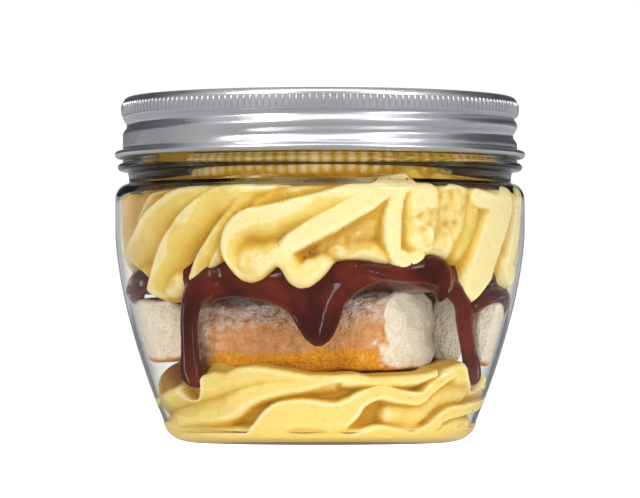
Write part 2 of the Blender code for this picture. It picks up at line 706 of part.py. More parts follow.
def main():
    clear_scene()
    dessert = make_collection("banana_split")
    cutters = make_collection("cutters")
    build_jar(dessert)
    build_lid(dessert)
    build_lower_cream(dessert)
    build_sponges(dessert, cutters)
    build_sauce(dessert)
    build_upper_cream(dessert)


main()
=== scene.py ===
# %% [markdown]
# # A layered banana dessert in a clear jar
# The jar is a blown clear plastic pot, shut by a rolled aluminium screw lid.
# Inside it, from the bottom up: piped banana cream, sponge fingers, chocolate
# sauce that has run down between them, and a second, thicker swirl of cream.
#
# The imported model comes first. It fixes every size, and each piece made here
# takes the place of one of its nodes.

import itertools
import math
from collections import namedtuple

import bmesh
import bpy
import numpy as np
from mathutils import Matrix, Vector


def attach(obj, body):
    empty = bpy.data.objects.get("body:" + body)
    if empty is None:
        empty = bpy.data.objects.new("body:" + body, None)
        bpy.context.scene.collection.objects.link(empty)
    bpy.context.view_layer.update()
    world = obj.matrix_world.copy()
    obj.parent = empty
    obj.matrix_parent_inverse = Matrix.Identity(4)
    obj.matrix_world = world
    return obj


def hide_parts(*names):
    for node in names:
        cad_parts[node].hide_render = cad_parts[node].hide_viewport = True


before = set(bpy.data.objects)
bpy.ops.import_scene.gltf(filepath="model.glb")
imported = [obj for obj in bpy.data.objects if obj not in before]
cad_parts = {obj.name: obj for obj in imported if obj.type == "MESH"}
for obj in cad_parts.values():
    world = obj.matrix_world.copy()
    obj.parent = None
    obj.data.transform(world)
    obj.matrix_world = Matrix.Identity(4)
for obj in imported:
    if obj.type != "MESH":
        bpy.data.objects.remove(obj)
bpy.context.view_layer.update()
MM = 0.001
print("nodes:", ", ".join(sorted(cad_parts)))

# %% [markdown]
# ## Helpers for meshes
# Food has no straight edge, so most pieces here are grids of points that are
# worked out with numpy and joined into faces. Lengths are millimetres until the
# mesh is made. An angle is measured round the jar from its front, and grows to
# the right.

# %% Points round the jar, and grids of faces


def round_the_jar(angle, radius, height):
    """Points at an angle in degrees, a radius and a height."""
    turn = np.radians(angle)
    return np.stack(np.broadcast_arrays(radius * np.sin(turn), -radius * np.cos(turn), height), axis=-1)


def ring_faces(rows, columns):
    """Faces of a grid whose rows are closed rings, facing outwards when the rows climb."""
    row, column = np.meshgrid(np.arange(rows - 1), np.arange(columns), indexing="ij")
    beside = (column + 1) % columns
    corners = [row * columns + column, row * columns + beside]
    corners += [(row + 1) * columns + beside, (row + 1) * columns + column]
    return np.stack(corners, axis=-1).reshape(-1, 4)


def new_piece(name, points, quads, caps=()):
    """A smooth-shaded mesh object. Each cap is a fan (centre point, ring of points, facing up)."""
    faces = [tuple(quad) for quad in quads]
    for centre, ring, up in caps:
        for first, second in zip(ring, np.roll(ring, -1)):
            faces.append((centre, first, second) if up else (centre, second, first))
    mesh = bpy.data.meshes.new(name)
    mesh.from_pydata((np.asarray(points) * MM).tolist(), [], faces)
    mesh.shade_smooth()
    piece = bpy.data.objects.new(name, mesh)
    bpy.context.scene.collection.objects.link(piece)
    return piece


def loft(name, rings):
    """A closed solid from rings of points that climb, each end shut by a fan."""
    rows, columns, _ = rings.shape
    ends = [rings[0].mean(axis=0), rings[-1].mean(axis=0)]
    points = np.vstack([rings.reshape(-1, 3), ends])
    lowest = np.arange(columns)
    highest = lowest + (rows - 1) * columns
    caps = [(rows * columns, lowest, False), (rows * columns + 1, highest, True)]
    return new_piece(name, points, ring_faces(rows, columns), caps)


def paint(piece, **layers):
    """Store numbers from 0 to 1 at the mesh's points, for its material to read."""
    for layer, values in layers.items():
        attribute = piece.data.attributes.new(layer, "FLOAT", "POINT")
        filled = np.zeros(len(piece.data.vertices))
        filled[: values.size] = np.clip(values, 0.0, 1.0).ravel()
        attribute.data.foreach_set("value", filled)


def mesh_points(piece):
    """The piece's points, in millimetres."""
    pressed_light = np.empty(3 * len(piece.data.vertices))
    piece.data.vertices.foreach_get("co", pressed_light)
    return pressed_light.reshape(-1, 3) / MM


def mesh_normals(piece):
    """The directions the piece's points face."""
    pressed_light = np.empty(3 * len(piece.data.vertices), dtype=np.float32)
    piece.data.vertex_normals.foreach_get("vector", pressed_light)
    return pressed_light.reshape(-1, 3).astype(float)


def report(piece):
    """Print the size of a finished mesh."""
    low, high = mesh_points(piece).min(axis=0), mesh_points(piece).max(axis=0)
    triangles = sum(len(face.vertices) - 2 for face in piece.data.polygons)
    print(f"{piece.name}: {triangles} triangles, {np.round(high - low, 1)} mm, base at {low[2]:.1f} mm")


# %% [markdown]
# ## Unevenness
# Hand-made food is uneven at every size. This noise gives each corner of a
# grid of cubes a fixed random number and blends between them, so the same
# place always gets the same value, and the result never changes between runs.

# %% A repeatable soft noise


def soft_noise(points, size, seed):
    """Smooth values from -1 to 1 that change over about the given size."""
    scaled = np.asarray(points, float) / size
    cell = np.floor(scaled).astype(np.int64)
    inside = scaled - cell
    fade = inside * inside * (3.0 - 2.0 * inside)
    total = np.zeros(scaled.shape[:-1])
    for corner in itertools.product((0, 1), repeat=3):
        key = cell + np.array(corner)
        mixed = (key[..., 0] * 73856093) ^ (key[..., 1] * 19349663) ^ (key[..., 2] * 83492791) ^ (seed * 265443)
        mixed = ((mixed ^ (mixed >> 13)) * 1274126177) & 0xFFFFFFFF
        value = ((mixed ^ (mixed >> 16)) & 0xFFFF) / 32767.5 - 1.0
        total += value * np.prod(np.where(corner, fade, 1.0 - fade), axis=-1)
    return total


def smooth_step(value, start, end):
    """0 before start, 1 after end, and a soft rise between."""
    share = np.clip((value - start) / (end - start), 0.0, 1.0)
    return share * share * (3.0 - 2.0 * share)


def smooth_path(stations, steps=8):
    """A curve through rows of numbers, with steps samples a span."""
    stations = np.array(stations, float)
    padded = np.vstack([2 * stations[0] - stations[1], stations, 2 * stations[-1] - stations[-2]])
    samples = []
    for before, start, end, after in zip(padded, padded[1:], padded[2:], padded[3:]):
        for t in np.linspace(0.0, 1.0, steps, endpoint=False):
            bend = 2 * before - 5 * start + 4 * end - after
            twist = 3 * start - before - 3 * end + after
            samples.append(0.5 * (2 * start + (end - before) * t + bend * t**2 + twist * t**3))
    return np.array(samples + [stations[-1]])


# %% [markdown]
# ## Node materials
# Every finish is a small node tree. This class writes one tree from left to
# right, so that a material below reads as a short recipe: a texture, a colour
# made from it, and the surface.

# %% A short way to write node trees


def tint(red, green, blue):
    """A linear colour from the 0 to 255 numbers of a screen colour."""
    parts = [value / 255.0 for value in (red, green, blue)]
    linear = [part / 12.92 if part <= 0.04045 else ((part + 0.055) / 1.055) ** 2.4 for part in parts]
    return (*linear, 1.0)


class Recipe:
    """One material's node tree, written step by step."""

    def __init__(self, name):
        self.material = bpy.data.materials.new(name)
        self.material.use_nodes = True
        self.nodes = self.material.node_tree.nodes
        self.links = self.material.node_tree.links
        self.nodes.clear()
        self.place = self.add("ShaderNodeTexCoord").outputs["Object"]

    def add(self, kind, **values):
        """A node with its properties set, and its inputs set or linked by name."""
        node = self.nodes.new(kind)
        node.location = (240 * (len(self.nodes) % 8), -260 * (len(self.nodes) // 8))
        for name, value in values.items():
            if hasattr(node, name):
                setattr(node, name, value)
            else:
                self.fill(node.inputs[name.replace("_", " ")], value)
        return node

    def fill(self, socket, value):
        """Set a socket to a number or a colour, or link an output to it."""
        if isinstance(value, bpy.types.NodeSocket):
            self.links.new(value, socket)
        else:
            socket.default_value = value

    def painted(self, layer):
        """The numbers stored at the mesh's points under a name."""
        return self.add("ShaderNodeAttribute", attribute_name=layer).outputs["Fac"]

    def noise(self, size, detail=3.0, roughness=0.55):
        """Cloudy noise with blotches of about the given size in millimetres."""
        node = self.add("ShaderNodeTexNoise", Vector=self.place, Detail=detail, Roughness=roughness)
        node.inputs["Scale"].default_value = 1.0 / (size * MM)
        return node.outputs["Fac"]

    def cells(self, size):
        """Distance to the nearest of scattered points, about size millimetres apart."""
        node = self.add("ShaderNodeTexVoronoi", Vector=self.place, Randomness=1.0)
        node.inputs["Scale"].default_value = 1.0 / (size * MM)
        return node.outputs["Distance"]

    def spread(self, value, start, end, low=0.0, high=1.0):
        """Stretch start..end of a value to low..high."""
        node = self.add("ShaderNodeMapRange", Value=value)
        for socket, number in zip(("From Min", "From Max", "To Min", "To Max"), (start, end, low, high)):
            node.inputs[socket].default_value = number
        return node.outputs["Result"]

    def sum(self, first, second, operation="ADD"):
        """Two values put together."""
        node = self.add("ShaderNodeMath", operation=operation)
        self.fill(node.inputs[0], first)
        self.fill(node.inputs[1], second)
        return node.outputs[0]

    def blend(self, share, first, second):
        """A colour between two colours."""
        node = self.add("ShaderNodeMix", data_type="RGBA")
        for index, value in ((0, share), (6, first), (7, second)):
            self.fill(node.inputs[index], value)
        return node.outputs[2]

    def relief(self, height, depth, below=None):
        """Shading of small bumps: a height from 0 to 1, and its depth in millimetres."""
        node = self.add("ShaderNodeBump", Height=height)
        node.inputs["Distance"].default_value = depth * MM
        if below is not None:
            self.links.new(below, node.inputs["Normal"])
        return node.outputs["Normal"]

    def surface(self, **values):
        """The Principled shader, linked to the output."""
        shader = self.add("ShaderNodeBsdfPrincipled")
        for name, value in values.items():
            self.fill(shader.inputs[name.replace("_", " ")], value)
        output = self.add("ShaderNodeOutputMaterial")
        self.links.new(shader.outputs[0], output.inputs["Surface"])
        return self.material


# %% [markdown]
# ## The view
# The jar is seen level from the front, a little above the resting height of
# its base. A long lens keeps the rim and the base nearly flat.

# %% Camera

CAMERA_DISTANCE = 0.950
CAMERA_HEIGHT = 0.024
VIEW_WIDTH = 640 * 0.2244 * MM
HORIZON_SHIFT = (335 - 249) / 640

camera_data = bpy.data.cameras.new("camera")
camera_data.sensor_width = 36.0
camera_data.lens = 36.0 * CAMERA_DISTANCE / VIEW_WIDTH
camera_data.shift_y = HORIZON_SHIFT
camera = bpy.data.objects.new("camera", camera_data)
camera.location = (0.0, -CAMERA_DISTANCE, CAMERA_HEIGHT)
camera.rotation_euler = (math.radians(90.0), 0.0, 0.0)
bpy.context.scene.collection.objects.link(camera)
bpy.context.scene.camera = camera
bpy.context.scene.view_settings.view_transform = "Standard"
print(f"lens {camera_data.lens:.0f} mm, view {VIEW_WIDTH / MM:.0f} mm wide")

# %% [markdown]
# ## The inside of the jar
# Everything inside is shaped by the wall it is pressed against, so the wall
# comes before the food, as one function from a height to a radius. The belly
# is widest high up, runs in over the shoulder to the neck, and tapers along a
# soft power curve down to the heel.

# %% The jar's sizes as a function of height

WALL = 0.8
FOOT_INNER_RADIUS, FOOT_RADIUS = 21.0, 28.5
BASE_PUSH_UP, BASE_THICKNESS = 0.7, 1.2
HEEL_RADIUS, HEEL_HEIGHT = 35.1, 4.8
BELLY_RADIUS, BELLY_HEIGHT, BELLY_CURVE = 45.9, 47.1, 1.6
SHOULDER_HEIGHT = 54.4
NECK_RADIUS, NECK_HEIGHT = 42.9, 57.8
RING_RADIUS, RING_BOTTOM, RING_TOP = 45.4, 60.7, 62.3
STOP_RADIUS, STOP_TOP = 44.3, 63.1
FINISH_RADIUS, RIM_HEIGHT = 42.2, 75.6
JAR_FLOOR = BASE_PUSH_UP + BASE_THICKNESS


def belly_radius(height):
    """Outer radius between the heel and the shoulder."""
    drop = np.clip((BELLY_HEIGHT - height) / (BELLY_HEIGHT - HEEL_HEIGHT), 0.0, 1.0)
    return BELLY_RADIUS - (BELLY_RADIUS - HEEL_RADIUS) * drop**BELLY_CURVE


def wall_radius(height):
    """Radius of the jar's inner side at a height, for one height or many."""
    height = np.asarray(height, float)
    rise = np.clip((height - SHOULDER_HEIGHT) / (NECK_HEIGHT - WALL - SHOULDER_HEIGHT), 0.0, 1.0)
    shoulder = FINISH_RADIUS - WALL + (BELLY_RADIUS - FINISH_RADIUS) * np.sqrt(1.0 - rise * rise)
    dip = np.clip((HEEL_HEIGHT - height) / (HEEL_HEIGHT - JAR_FLOOR), 0.0, 1.0)
    heel = FOOT_RADIUS + (HEEL_RADIUS - WALL - FOOT_RADIUS) * np.sqrt(1.0 - dip * dip)
    body = np.where(height < HEEL_HEIGHT, heel, belly_radius(height) - WALL)
    return np.where(height > SHOULDER_HEIGHT, shoulder, body)


print("inside radius at 10, 30 and 50 mm:", np.round(wall_radius([10.0, 30.0, 50.0]), 1))

# %% [markdown]
# ## Piped cream against the wall
# The cream was piped in thick ropes that lie slantwise and overlap. Where a
# rope meets the wall it is squashed flat, so the glass shows pale flat bands
# with golden grooves between them.
#
# One rope is a path round the jar with a rounded section. `over` says how far
# the rope would stand past the wall if the wall weren't there, and the surface
# is the highest rope at each place, cut off at the wall. Two half widths, one
# to each side of the path, make a steep lip on one side and a long slope on
# the other, and a greater fullness makes a plumper rope with tighter creases.

# %% Ropes of cream

Rope = namedtuple("Rope", "over left right fullness path")
ROPE_DROP = 4.8
PRESSED_IN = 0.08
AROUND = 44.0


def turned_half(ropes):
    """The same ropes on the far side of the jar."""
    return [rope._replace(path=[(angle + 180.0, *rest) for angle, *rest in rope.path]) for rope in ropes]


def rope_reach(rope, angle, height):
    """How far one rope stands past the wall at each place; below zero it falls short."""
    path = smooth_path(rope.path)
    along = np.gradient(path[:, :2] * [math.radians(1.0) * AROUND, 1.0], axis=0)
    best_gap = np.full(angle.shape, np.inf)
    best_reach = np.full(angle.shape, -np.inf)
    for (path_angle, path_height, swell), (run, climb) in zip(path, along):
        across = np.radians((angle - path_angle + 180.0) % 360.0 - 180.0) * AROUND
        up = height - path_height
        gap = across * across + up * up
        leftness = (run * up - climb * across) / (math.hypot(run, climb) * np.sqrt(gap) + 1e-6)
        share = 0.5 + 0.5 * np.clip(1.6 * leftness, -1.0, 1.0)
        half_width = swell * (rope.right + (rope.left - rope.right) * share)
        reach = rope.over * swell - ROPE_DROP * (gap / (half_width * half_width)) ** (0.5 * rope.fullness)
        nearer = gap < best_gap
        best_gap = np.where(nearer, gap, best_gap)
        best_reach = np.where(nearer, reach, best_reach)
    return best_reach


# %% [markdown]
# Two runs of sauce have slid down between the cream and the wall. The cream
# makes room for them, so their stations come before both. A station is an
# angle, a height, the depth of the run's middle behind the wall, and its half
# width and half thickness.

# %% Room for the runs of sauce

LEFT_RUN = [
    (-34.0, 36.4, 2.6, 3.2, 2.2), (-40.2, 33.3, 1.9, 3.0, 2.0), (-42.6, 30.6, 1.6, 2.6, 1.8),
    (-44.6, 27.0, 1.5, 2.3, 1.7), (-46.0, 23.4, 1.5, 2.3, 1.6), (-47.4, 19.8, 1.5, 2.6, 1.7),
    (-49.0, 16.8, 1.6, 3.4, 1.9), (-50.4, 14.6, 1.8, 3.9, 1.8),
]
RIGHT_RUN = [
    (38.0, 36.4, 3.4, 2.4, 2.2), (44.6, 33.6, 2.0, 2.3, 1.9), (48.6, 30.8, 1.6, 2.2, 1.7),
    (50.8, 27.3, 1.5, 2.3, 1.7), (53.6, 24.0, 1.5, 2.2, 1.6), (57.8, 20.2, 1.5, 2.1, 1.6),
    (62.4, 17.2, 1.5, 2.5, 1.8), (66.4, 15.0, 1.7, 2.4, 1.8),
]


def under_runs(angle, height):
    """1 where a run of sauce lies between the cream and the wall, 0 away from it."""
    covered = np.zeros(angle.shape)
    for run in (LEFT_RUN, RIGHT_RUN):
        for run_angle, run_height, _, half_width, _ in smooth_path(run, 10):
            across = np.radians((angle - run_angle + 180.0) % 360.0 - 180.0) * AROUND
            gap = np.hypot(across, height - run_height) - half_width
            covered = np.maximum(covered, 1.0 - smooth_step(gap, 0.1, 1.3))
    return covered


# %% [markdown]
# The ropes and a little noise at three sizes give the depth behind the wall.
# How far a place stands out from its surroundings is kept for painted
# highlights on the crests and painted shade in the creases.

# %% The cream's depth and folds


def cream_depth(ropes, angle, height, back, lumps, seed):
    """Depth of the cream behind the wall, from the ropes and some unevenness."""
    place = round_the_jar(angle, AROUND, height)
    reach = np.full(angle.shape, -back)
    for rope in ropes:
        reach = np.maximum(reach, rope_reach(rope, angle, height))
    reach = reach + lumps * soft_noise(place, 7.0, seed) + 0.4 * lumps * soft_noise(place, 2.6, seed + 1)
    return -reach - 0.12 * lumps * soft_noise(place, 0.9, seed + 2)


def folds(depth):
    """Where the surface stands out from its surroundings (1), and where it lies in a crease (-1)."""
    around = depth
    for step in (2, 4, 7):
        along = np.vstack([around[step:], np.repeat(around[-1:], step, axis=0)])
        back = np.vstack([np.repeat(around[:1], step, axis=0), around[:-step]])
        sideways = np.roll(around, step // 2, axis=1) + np.roll(around, -(step // 2), axis=1)
        around = (along + back + sideways + around) / 5.0
    return np.clip((around - depth) / 0.45, -1.0, 1.0)


def paint_rows(piece, first, **layers):
    """Store layers that cover only the rows of the mesh from the first point on."""
    for layer, values in layers.items():
        spread = np.zeros(len(piece.data.vertices))
        spread[first : first + values.size] = values.ravel()
        paint(piece, **{layer: spread})


# %% [markdown]
# ## The lower cream
# It fills the bottom of the jar. Its top edge rises and falls with the ropes,
# and the sponge stands in it. The rings of the mesh run along the floor, up
# the wall, over the edge and in to the middle.

# %% The lower cream's ropes and top edge

LOWER_ROPES = [
    Rope(0.1, 5.4, 6.4, 2, [
        (-84, 9.4, 0.9), (-71, 10.4, 1.0), (-53, 12.0, 1.0), (-39, 14.0, 1.1), (-27, 15.4, 1.1),
        (-16, 15.6, 1.0), (-6, 14.8, 0.8), (4, 15.0, 0.7),
    ]),
    Rope(0.35, 7.4, 2.6, 2, [
        (-92, 2.0, 0.8), (-77, 3.3, 0.8), (-55, 5.2, 0.9), (-41, 6.0, 1.0), (-33, 7.4, 1.0),
        (-25, 10.1, 0.9), (-17, 11.5, 0.9), (-7, 12.6, 0.9), (3, 14.0, 0.7), (12, 14.8, 0.6),
    ]),
    Rope(1.5, 4.2, 4.0, 3, [
        (-27, -0.4, 0.9), (-21, 3.2, 1.0), (-15, 5.9, 1.05), (-8, 6.9, 1.05), (0, 6.5, 1.0),
        (6, 6.2, 1.0), (11, 7.8, 0.9), (15, 10.2, 0.7), (21, 11.7, 0.6), (28, 10.8, 0.56),
        (37, 10.3, 0.56), (41, 12.5, 0.56), (47, 15.1, 0.56), (53, 17.2, 0.56),
    ]),
    Rope(0.3, 4.8, 3.4, 2.4, [
        (8, 14.6, 0.8), (17, 14.2, 0.8), (24, 14.2, 0.8), (33, 14.4, 0.8), (41, 15.8, 0.7),
    ]),
    Rope(1.1, 3.0, 2.6, 3, [
        (10, -0.8, 0.9), (16, 1.2, 0.9), (22, 2.6, 0.9), (30, 2.2, 0.8), (37, 1.6, 0.8), (44, 2.9, 0.9),
        (52, 6.5, 0.9), (62, 7.4, 0.8), (74, 8.2, 0.8), (88, 9.4, 0.7),
    ]),
    Rope(0.5, 4.8, 4.8, 2.4, [
        (46, -0.6, 0.8), (56, 2.6, 1.0), (70, 3.6, 0.9),
    ]),
    Rope(0.1, 5.6, 6.4, 2.4, [
        (54, 15.8, 0.9), (70, 14.0, 1.0), (84, 12.2, 0.9), (96, 11.0, 0.8),
    ]),
    Rope(-0.3, 5.6, 5.6, 2, [
        (26, 6.6, 0.8), (38, 6.8, 0.9), (47, 10.4, 0.9), (60, 11.4, 0.9),
    ]),
]
LOWER_EDGE = [
    (-90, 11.0), (-73, 11.6), (-56, 13.3), (-45, 15.1), (-38, 16.3), (-33, 16.0), (-28, 17.3),
    (-21, 17.8), (-13, 16.9), (-3, 15.7), (5, 15.7), (12, 15.9), (17, 15.2), (27, 15.5), (36, 15.9),
    (46, 17.0), (53, 18.3), (58, 18.3), (65, 17.4), (74, 15.6), (84, 13.2),
]


def edge_of(table, angle):
    """Height of a layer's edge, from half a turn of points that repeats at the back."""
    angles, heights = np.array(table, float).T
    repeated = np.concatenate([angles - 180.0, angles, angles + 180.0])
    wrapped = (angle + 90.0) % 180.0 - 90.0
    rough = np.interp(wrapped, repeated, np.tile(heights, 3))
    before = np.interp(wrapped - 0.8, repeated, np.tile(heights, 3))
    after = np.interp(wrapped + 0.8, repeated, np.tile(heights, 3))
    return (before + 2.0 * rough + after) / 4.0


# %% The lower cream's mesh

print(f"lower cream: {len(LOWER_ROPES)} ropes on each half, {len(LOWER_EDGE)} points on its edge")

COLUMNS = 560
LOWER_ROWS = 96
LOWER_BACK = 3.2
FLOOR_GAP = 0.05
RIDGES_START, RIDGES_FULL = 2.7, 5.2
EDGE_ROUND = 1.6
LOWER_MIDDLE = 13.6
RUN_ROOM = 3.2
LUMPS = [round_the_jar(angle, radius, 14.0) for angle, radius in ((-42.0, 34.0), (-58.0, 35.0), (138.0, 34.0))]
columns = np.arange(COLUMNS) * 360.0 / COLUMNS - 180.0


def pits(points, places, width, depth):
    """Small round hollows at the given places, as a depth at each point."""
    hollow = np.zeros(points.shape[:-1])
    for place in places:
        gap = np.linalg.norm(points - place, axis=-1)
        hollow += depth * np.exp(-((gap / width) ** 2))
    return hollow


def bubble_places(low, high, count, seed):
    """Places of bubbles against the wall, spread at random with a fixed seed."""
    draw = np.random.default_rng(seed)
    angles = draw.uniform(-180.0, 180.0, count)
    heights = draw.uniform(low, high, count)
    return round_the_jar(angles, wall_radius(heights), heights)


def lower_cream():
    """The bottom layer, from the jar's floor up to its piped edge."""
    top = edge_of(LOWER_EDGE, columns)
    share = np.linspace(0.0, 1.0, LOWER_ROWS)[:, None]
    height = JAR_FLOOR + FLOOR_GAP + (top - JAR_FLOOR - FLOOR_GAP) * share
    angle = np.broadcast_to(columns, height.shape)
    depth = cream_depth(LOWER_ROPES + turned_half(LOWER_ROPES), angle, height, LOWER_BACK, 0.28, 11)
    depth = depth * smooth_step(height, RIDGES_START, RIDGES_FULL)
    depth = np.maximum(depth, RUN_ROOM * under_runs(angle, height))
    near_edge = np.clip((height - top + EDGE_ROUND) / EDGE_ROUND, 0.0, 1.0)
    depth = depth + EDGE_ROUND * (1.0 - np.sqrt(1.0 - near_edge**2))
    touching = np.maximum(depth, -PRESSED_IN)
    fold = 0.5 + 0.5 * folds(touching)
    wall = round_the_jar(angle, wall_radius(height), height)
    touching = touching + pits(wall, bubble_places(4.0, 15.0, 70, 5), 0.4, 0.35)
    side = round_the_jar(angle, wall_radius(height) - touching, height)
    rings = [round_the_jar(columns, radius, JAR_FLOOR + FLOOR_GAP) for radius in (8.0, 16.0, 23.0)]
    rim = wall_radius(top) - touching[-1]
    over = []
    for step in np.linspace(0.06, 0.9, 22):
        radius = rim * (1.0 - step)
        shoulder = 0.4 * math.sin(math.pi * min(step * 5.0, 1.0))
        level = top + shoulder + (LOWER_MIDDLE - top) * smooth_step(step, 0.05, 0.45)
        place = round_the_jar(columns, radius, level)
        place[:, 2] += 0.5 * soft_noise(place, 5.0, 31) * min(step * 6.0, 1.0)
        place[:, 2] += pits(place, LUMPS, 4.5, 4.5) * min(step * 8.0, 1.0)
        over.append(place)
    piece = loft("lower_swirl", np.array([*rings, *side, *over]))
    # layers for the painted light and shade: groove depth and creases for painted shade, crests and pressed
    # flats for painted light
    paint_rows(piece, len(rings) * COLUMNS, groove=depth / 3.0,
               pressed=smooth_step(-depth, -0.05, 0.12), fold=fold)
    return piece


lower = lower_cream()
report(lower)

# %% [markdown]
# ## The upper cream
# The top swirl is softer and hangs in thick lobes over the sauce. The same
# ropes make its folds. Its lower edge is a row of rounded tips, and one part
# that tore away from the wall is left rough, with small craters.

# %% The upper cream's ropes, tips and torn patches

UPPER_ROPES = [
    Rope(-0.2, 11.5, 1.7, 2, [
        (-30, 58.2, 1.0), (-37, 56.6, 1.0), (-44.5, 55.5, 1.0), (-51, 53.4, 1.0), (-57, 50.9, 1.0),
        (-63, 47.5, 1.0), (-71, 43.7, 1.0), (-82, 40.6, 0.9),
    ]),
    Rope(-2.4, 6.0, 4.0, 2, [
        (-54, 57.0, 1.0), (-63, 52.5, 1.0), (-68, 48.9, 0.9),
    ]),
    Rope(-1.5, 5.0, 5.0, 2, [
        (-80, 40.4, 0.9), (-72, 40.2, 1.0), (-64, 38.4, 1.0), (-58, 37.4, 0.8),
    ]),
    Rope(0.1, 9.5, 1.5, 2, [
        (-22, 58.0, 0.9), (-28.5, 56.1, 1.0), (-33, 54.8, 1.0), (-38, 52.3, 1.0), (-43.2, 49.4, 1.0),
        (-48, 45.7, 1.0), (-51.7, 42.1, 1.0), (-55.7, 38.2, 1.0), (-60, 34.4, 1.0),
    ]),
    Rope(-0.8, 5.0, 5.0, 2.4, [
        (-57, 36.0, 1.0), (-52, 34.6, 1.0), (-47, 35.6, 1.0),
    ]),
    Rope(-0.7, 5.6, 1.6, 2, [
        (-14, 57.4, 0.9), (-19.3, 56.0, 1.0), (-22.5, 53.8, 1.0), (-26.1, 50.9, 1.0), (-30, 47.5, 1.0),
        (-34.2, 43.6, 1.1), (-38.2, 39.8, 1.1), (-41, 36.4, 1.0),
    ]),
    Rope(-1.2, 3.0, 1.5, 2, [
        (-10, 57.0, 0.9), (-15.2, 55.9, 1.0), (-20.2, 53.4, 1.0), (-24.3, 50.4, 1.0),
        (-26.8, 47.4, 1.0), (-29.2, 44.0, 1.0), (-31.8, 40.8, 1.0), (-34.1, 38.3, 1.0),
    ]),
    Rope(-1.5, 5.0, 4.0, 2, [
        (10, 57.6, 1.0), (-4, 55.4, 1.0), (-12.5, 54.0, 1.0), (-18.1, 52.4, 0.8),
    ]),
    Rope(0.25, 9.6, 1.4, 2.2, [
        (20, 57.8, 1.0), (8.7, 56.1, 1.0), (4, 55.0, 1.0), (-5.6, 53.1, 1.0), (-15.3, 51.2, 1.0),
        (-20.2, 50.6, 0.95), (-24, 49.2, 0.9), (-26.8, 46.8, 0.85), (-28.1, 43.6, 0.8),
        (-27.4, 40.1, 0.8), (-25.2, 37.4, 0.8),
    ]),
    Rope(0.3, 6.6, 6.0, 2.6, [
        (-12.6, 40.6, 0.9), (-16, 39.4, 1.0), (-20.9, 39.3, 1.0),
    ]),
    Rope(1.3, 3.0, 3.2, 3, [
        (26, 57.6, 1.0), (17.7, 55.3, 1.05), (12.5, 52.7, 1.1), (6.7, 50.1, 1.1), (1.2, 47.7, 1.1),
        (-4.2, 45.4, 1.0), (-8.4, 43.3, 0.9), (-10.5, 41.2, 0.8),
    ]),
    Rope(0.15, 4.4, 4.0, 2.6, [
        (-9.6, 40.2, 0.8), (-7.6, 37.4, 1.0), (-4.8, 36.6, 1.1), (-1.6, 37.2, 1.1), (1.4, 38.8, 0.9),
    ]),
    Rope(-1.9, 7.0, 7.0, 2, [
        (2.6, 42.6, 1.0), (8.1, 44.3, 1.0), (13.6, 47.8, 1.0), (17.4, 51.9, 1.0),
    ]),
    Rope(-1.0, 4.4, 3.4, 2.4, [
        (4.3, 41.6, 0.9), (9.6, 41.8, 1.0), (14.4, 41.4, 1.0), (19.1, 40.4, 1.0),
    ]),
    Rope(1.0, 2.6, 2.6, 3, [
        (26, 57.4, 0.8), (22.4, 54.7, 0.9), (20.9, 51.2, 1.0), (20.5, 47.4, 1.05), (20.7, 43.5, 1.0),
        (22.0, 40.2, 0.8),
    ]),
    Rope(0.2, 7.6, 7.4, 3, [
        (29, 57.4, 1.0), (30, 53.0, 1.0), (30.4, 48.3, 1.0), (29.8, 45.0, 0.9),
    ]),
    Rope(0.1, 7.0, 7.0, 3, [
        (42, 57.0, 1.0), (40, 53.0, 1.0), (39.1, 48.4, 1.0), (36.4, 44.6, 0.9),
    ]),
    Rope(0.35, 4.0, 4.2, 2.6, [
        (22.8, 40.6, 0.9), (25.2, 39.6, 1.0), (28.4, 40.6, 0.9),
    ]),
    Rope(-0.7, 5.6, 5.6, 2.4, [
        (47, 56.0, 1.0), (48, 51.0, 1.0), (46.5, 46.6, 1.0), (43.6, 42.6, 0.9),
    ]),
    Rope(0.5, 8.6, 6.6, 3.4, [
        (64, 54.0, 0.9), (60, 50.0, 1.0), (55.4, 44.7, 1.0), (52.6, 39.2, 1.05), (51.2, 33.6, 0.95),
    ]),
    Rope(1.0, 3.4, 3.4, 3, [
        (49, 54.0, 0.9), (57.8, 52.9, 0.9), (66.2, 52.2, 0.9),
    ]),
    Rope(1.0, 3.6, 3.6, 3, [
        (76, 55.0, 1.0), (74, 50.0, 1.0), (71.6, 45.0, 1.0), (69.4, 40.6, 0.9),
    ]),
    Rope(0.2, 5.0, 5.0, 3, [
        (68.5, 39.4, 0.9), (70.2, 37.6, 1.0), (72.5, 37.0, 1.0),
    ]),
    Rope(-0.2, 7.6, 7.6, 2.4, [
        (92, 57.0, 1.0), (88, 49.0, 1.0), (84, 42.0, 1.0),
    ]),
    Rope(-1.0, 4.6, 4.6, 2, [
        (-46, 61.5, 0.9), (-20, 61.5, 1.0), (10, 61.8, 1.0), (45, 61.4, 1.0), (80, 61.0, 1.0),
    ]),
]
UPPER_EDGE = [
    (-90, 40.6), (-82, 40.4), (-72.5, 39.3), (-65, 36.2), (-61.2, 32.8), (-54.5, 31.0), (-47.1, 31.7),
    (-41.6, 34.8), (-38.1, 35.0), (-35.3, 37.0), (-31.6, 39.1), (-28.3, 39.7), (-25.7, 37.1),
    (-22.5, 34.8), (-20.4, 34.3), (-17.9, 35.0), (-14.9, 37.1), (-12.6, 38.8), (-11.4, 38.4),
    (-10.4, 36.0), (-8.9, 34.1), (-5.8, 33.0), (-3.3, 33.4), (-0.7, 35.1), (1.8, 36.9), (3.7, 39.2),
    (7.1, 39.8), (11, 39.9), (14.5, 39.4), (18.3, 38.4), (21.4, 37.3), (24.4, 37.1), (26.9, 37.8),
    (29, 39.1), (31.5, 40.6), (34.5, 40.8), (37.7, 40.2), (39.5, 38.5), (42, 34.8), (46, 32.3),
    (51, 30.6), (53.5, 32.1), (57, 34.1), (61.3, 35.0), (65, 34.3), (72, 33.5), (80, 34.7),
]
Torn = namedtuple("Torn", "angle height wide tall depth")
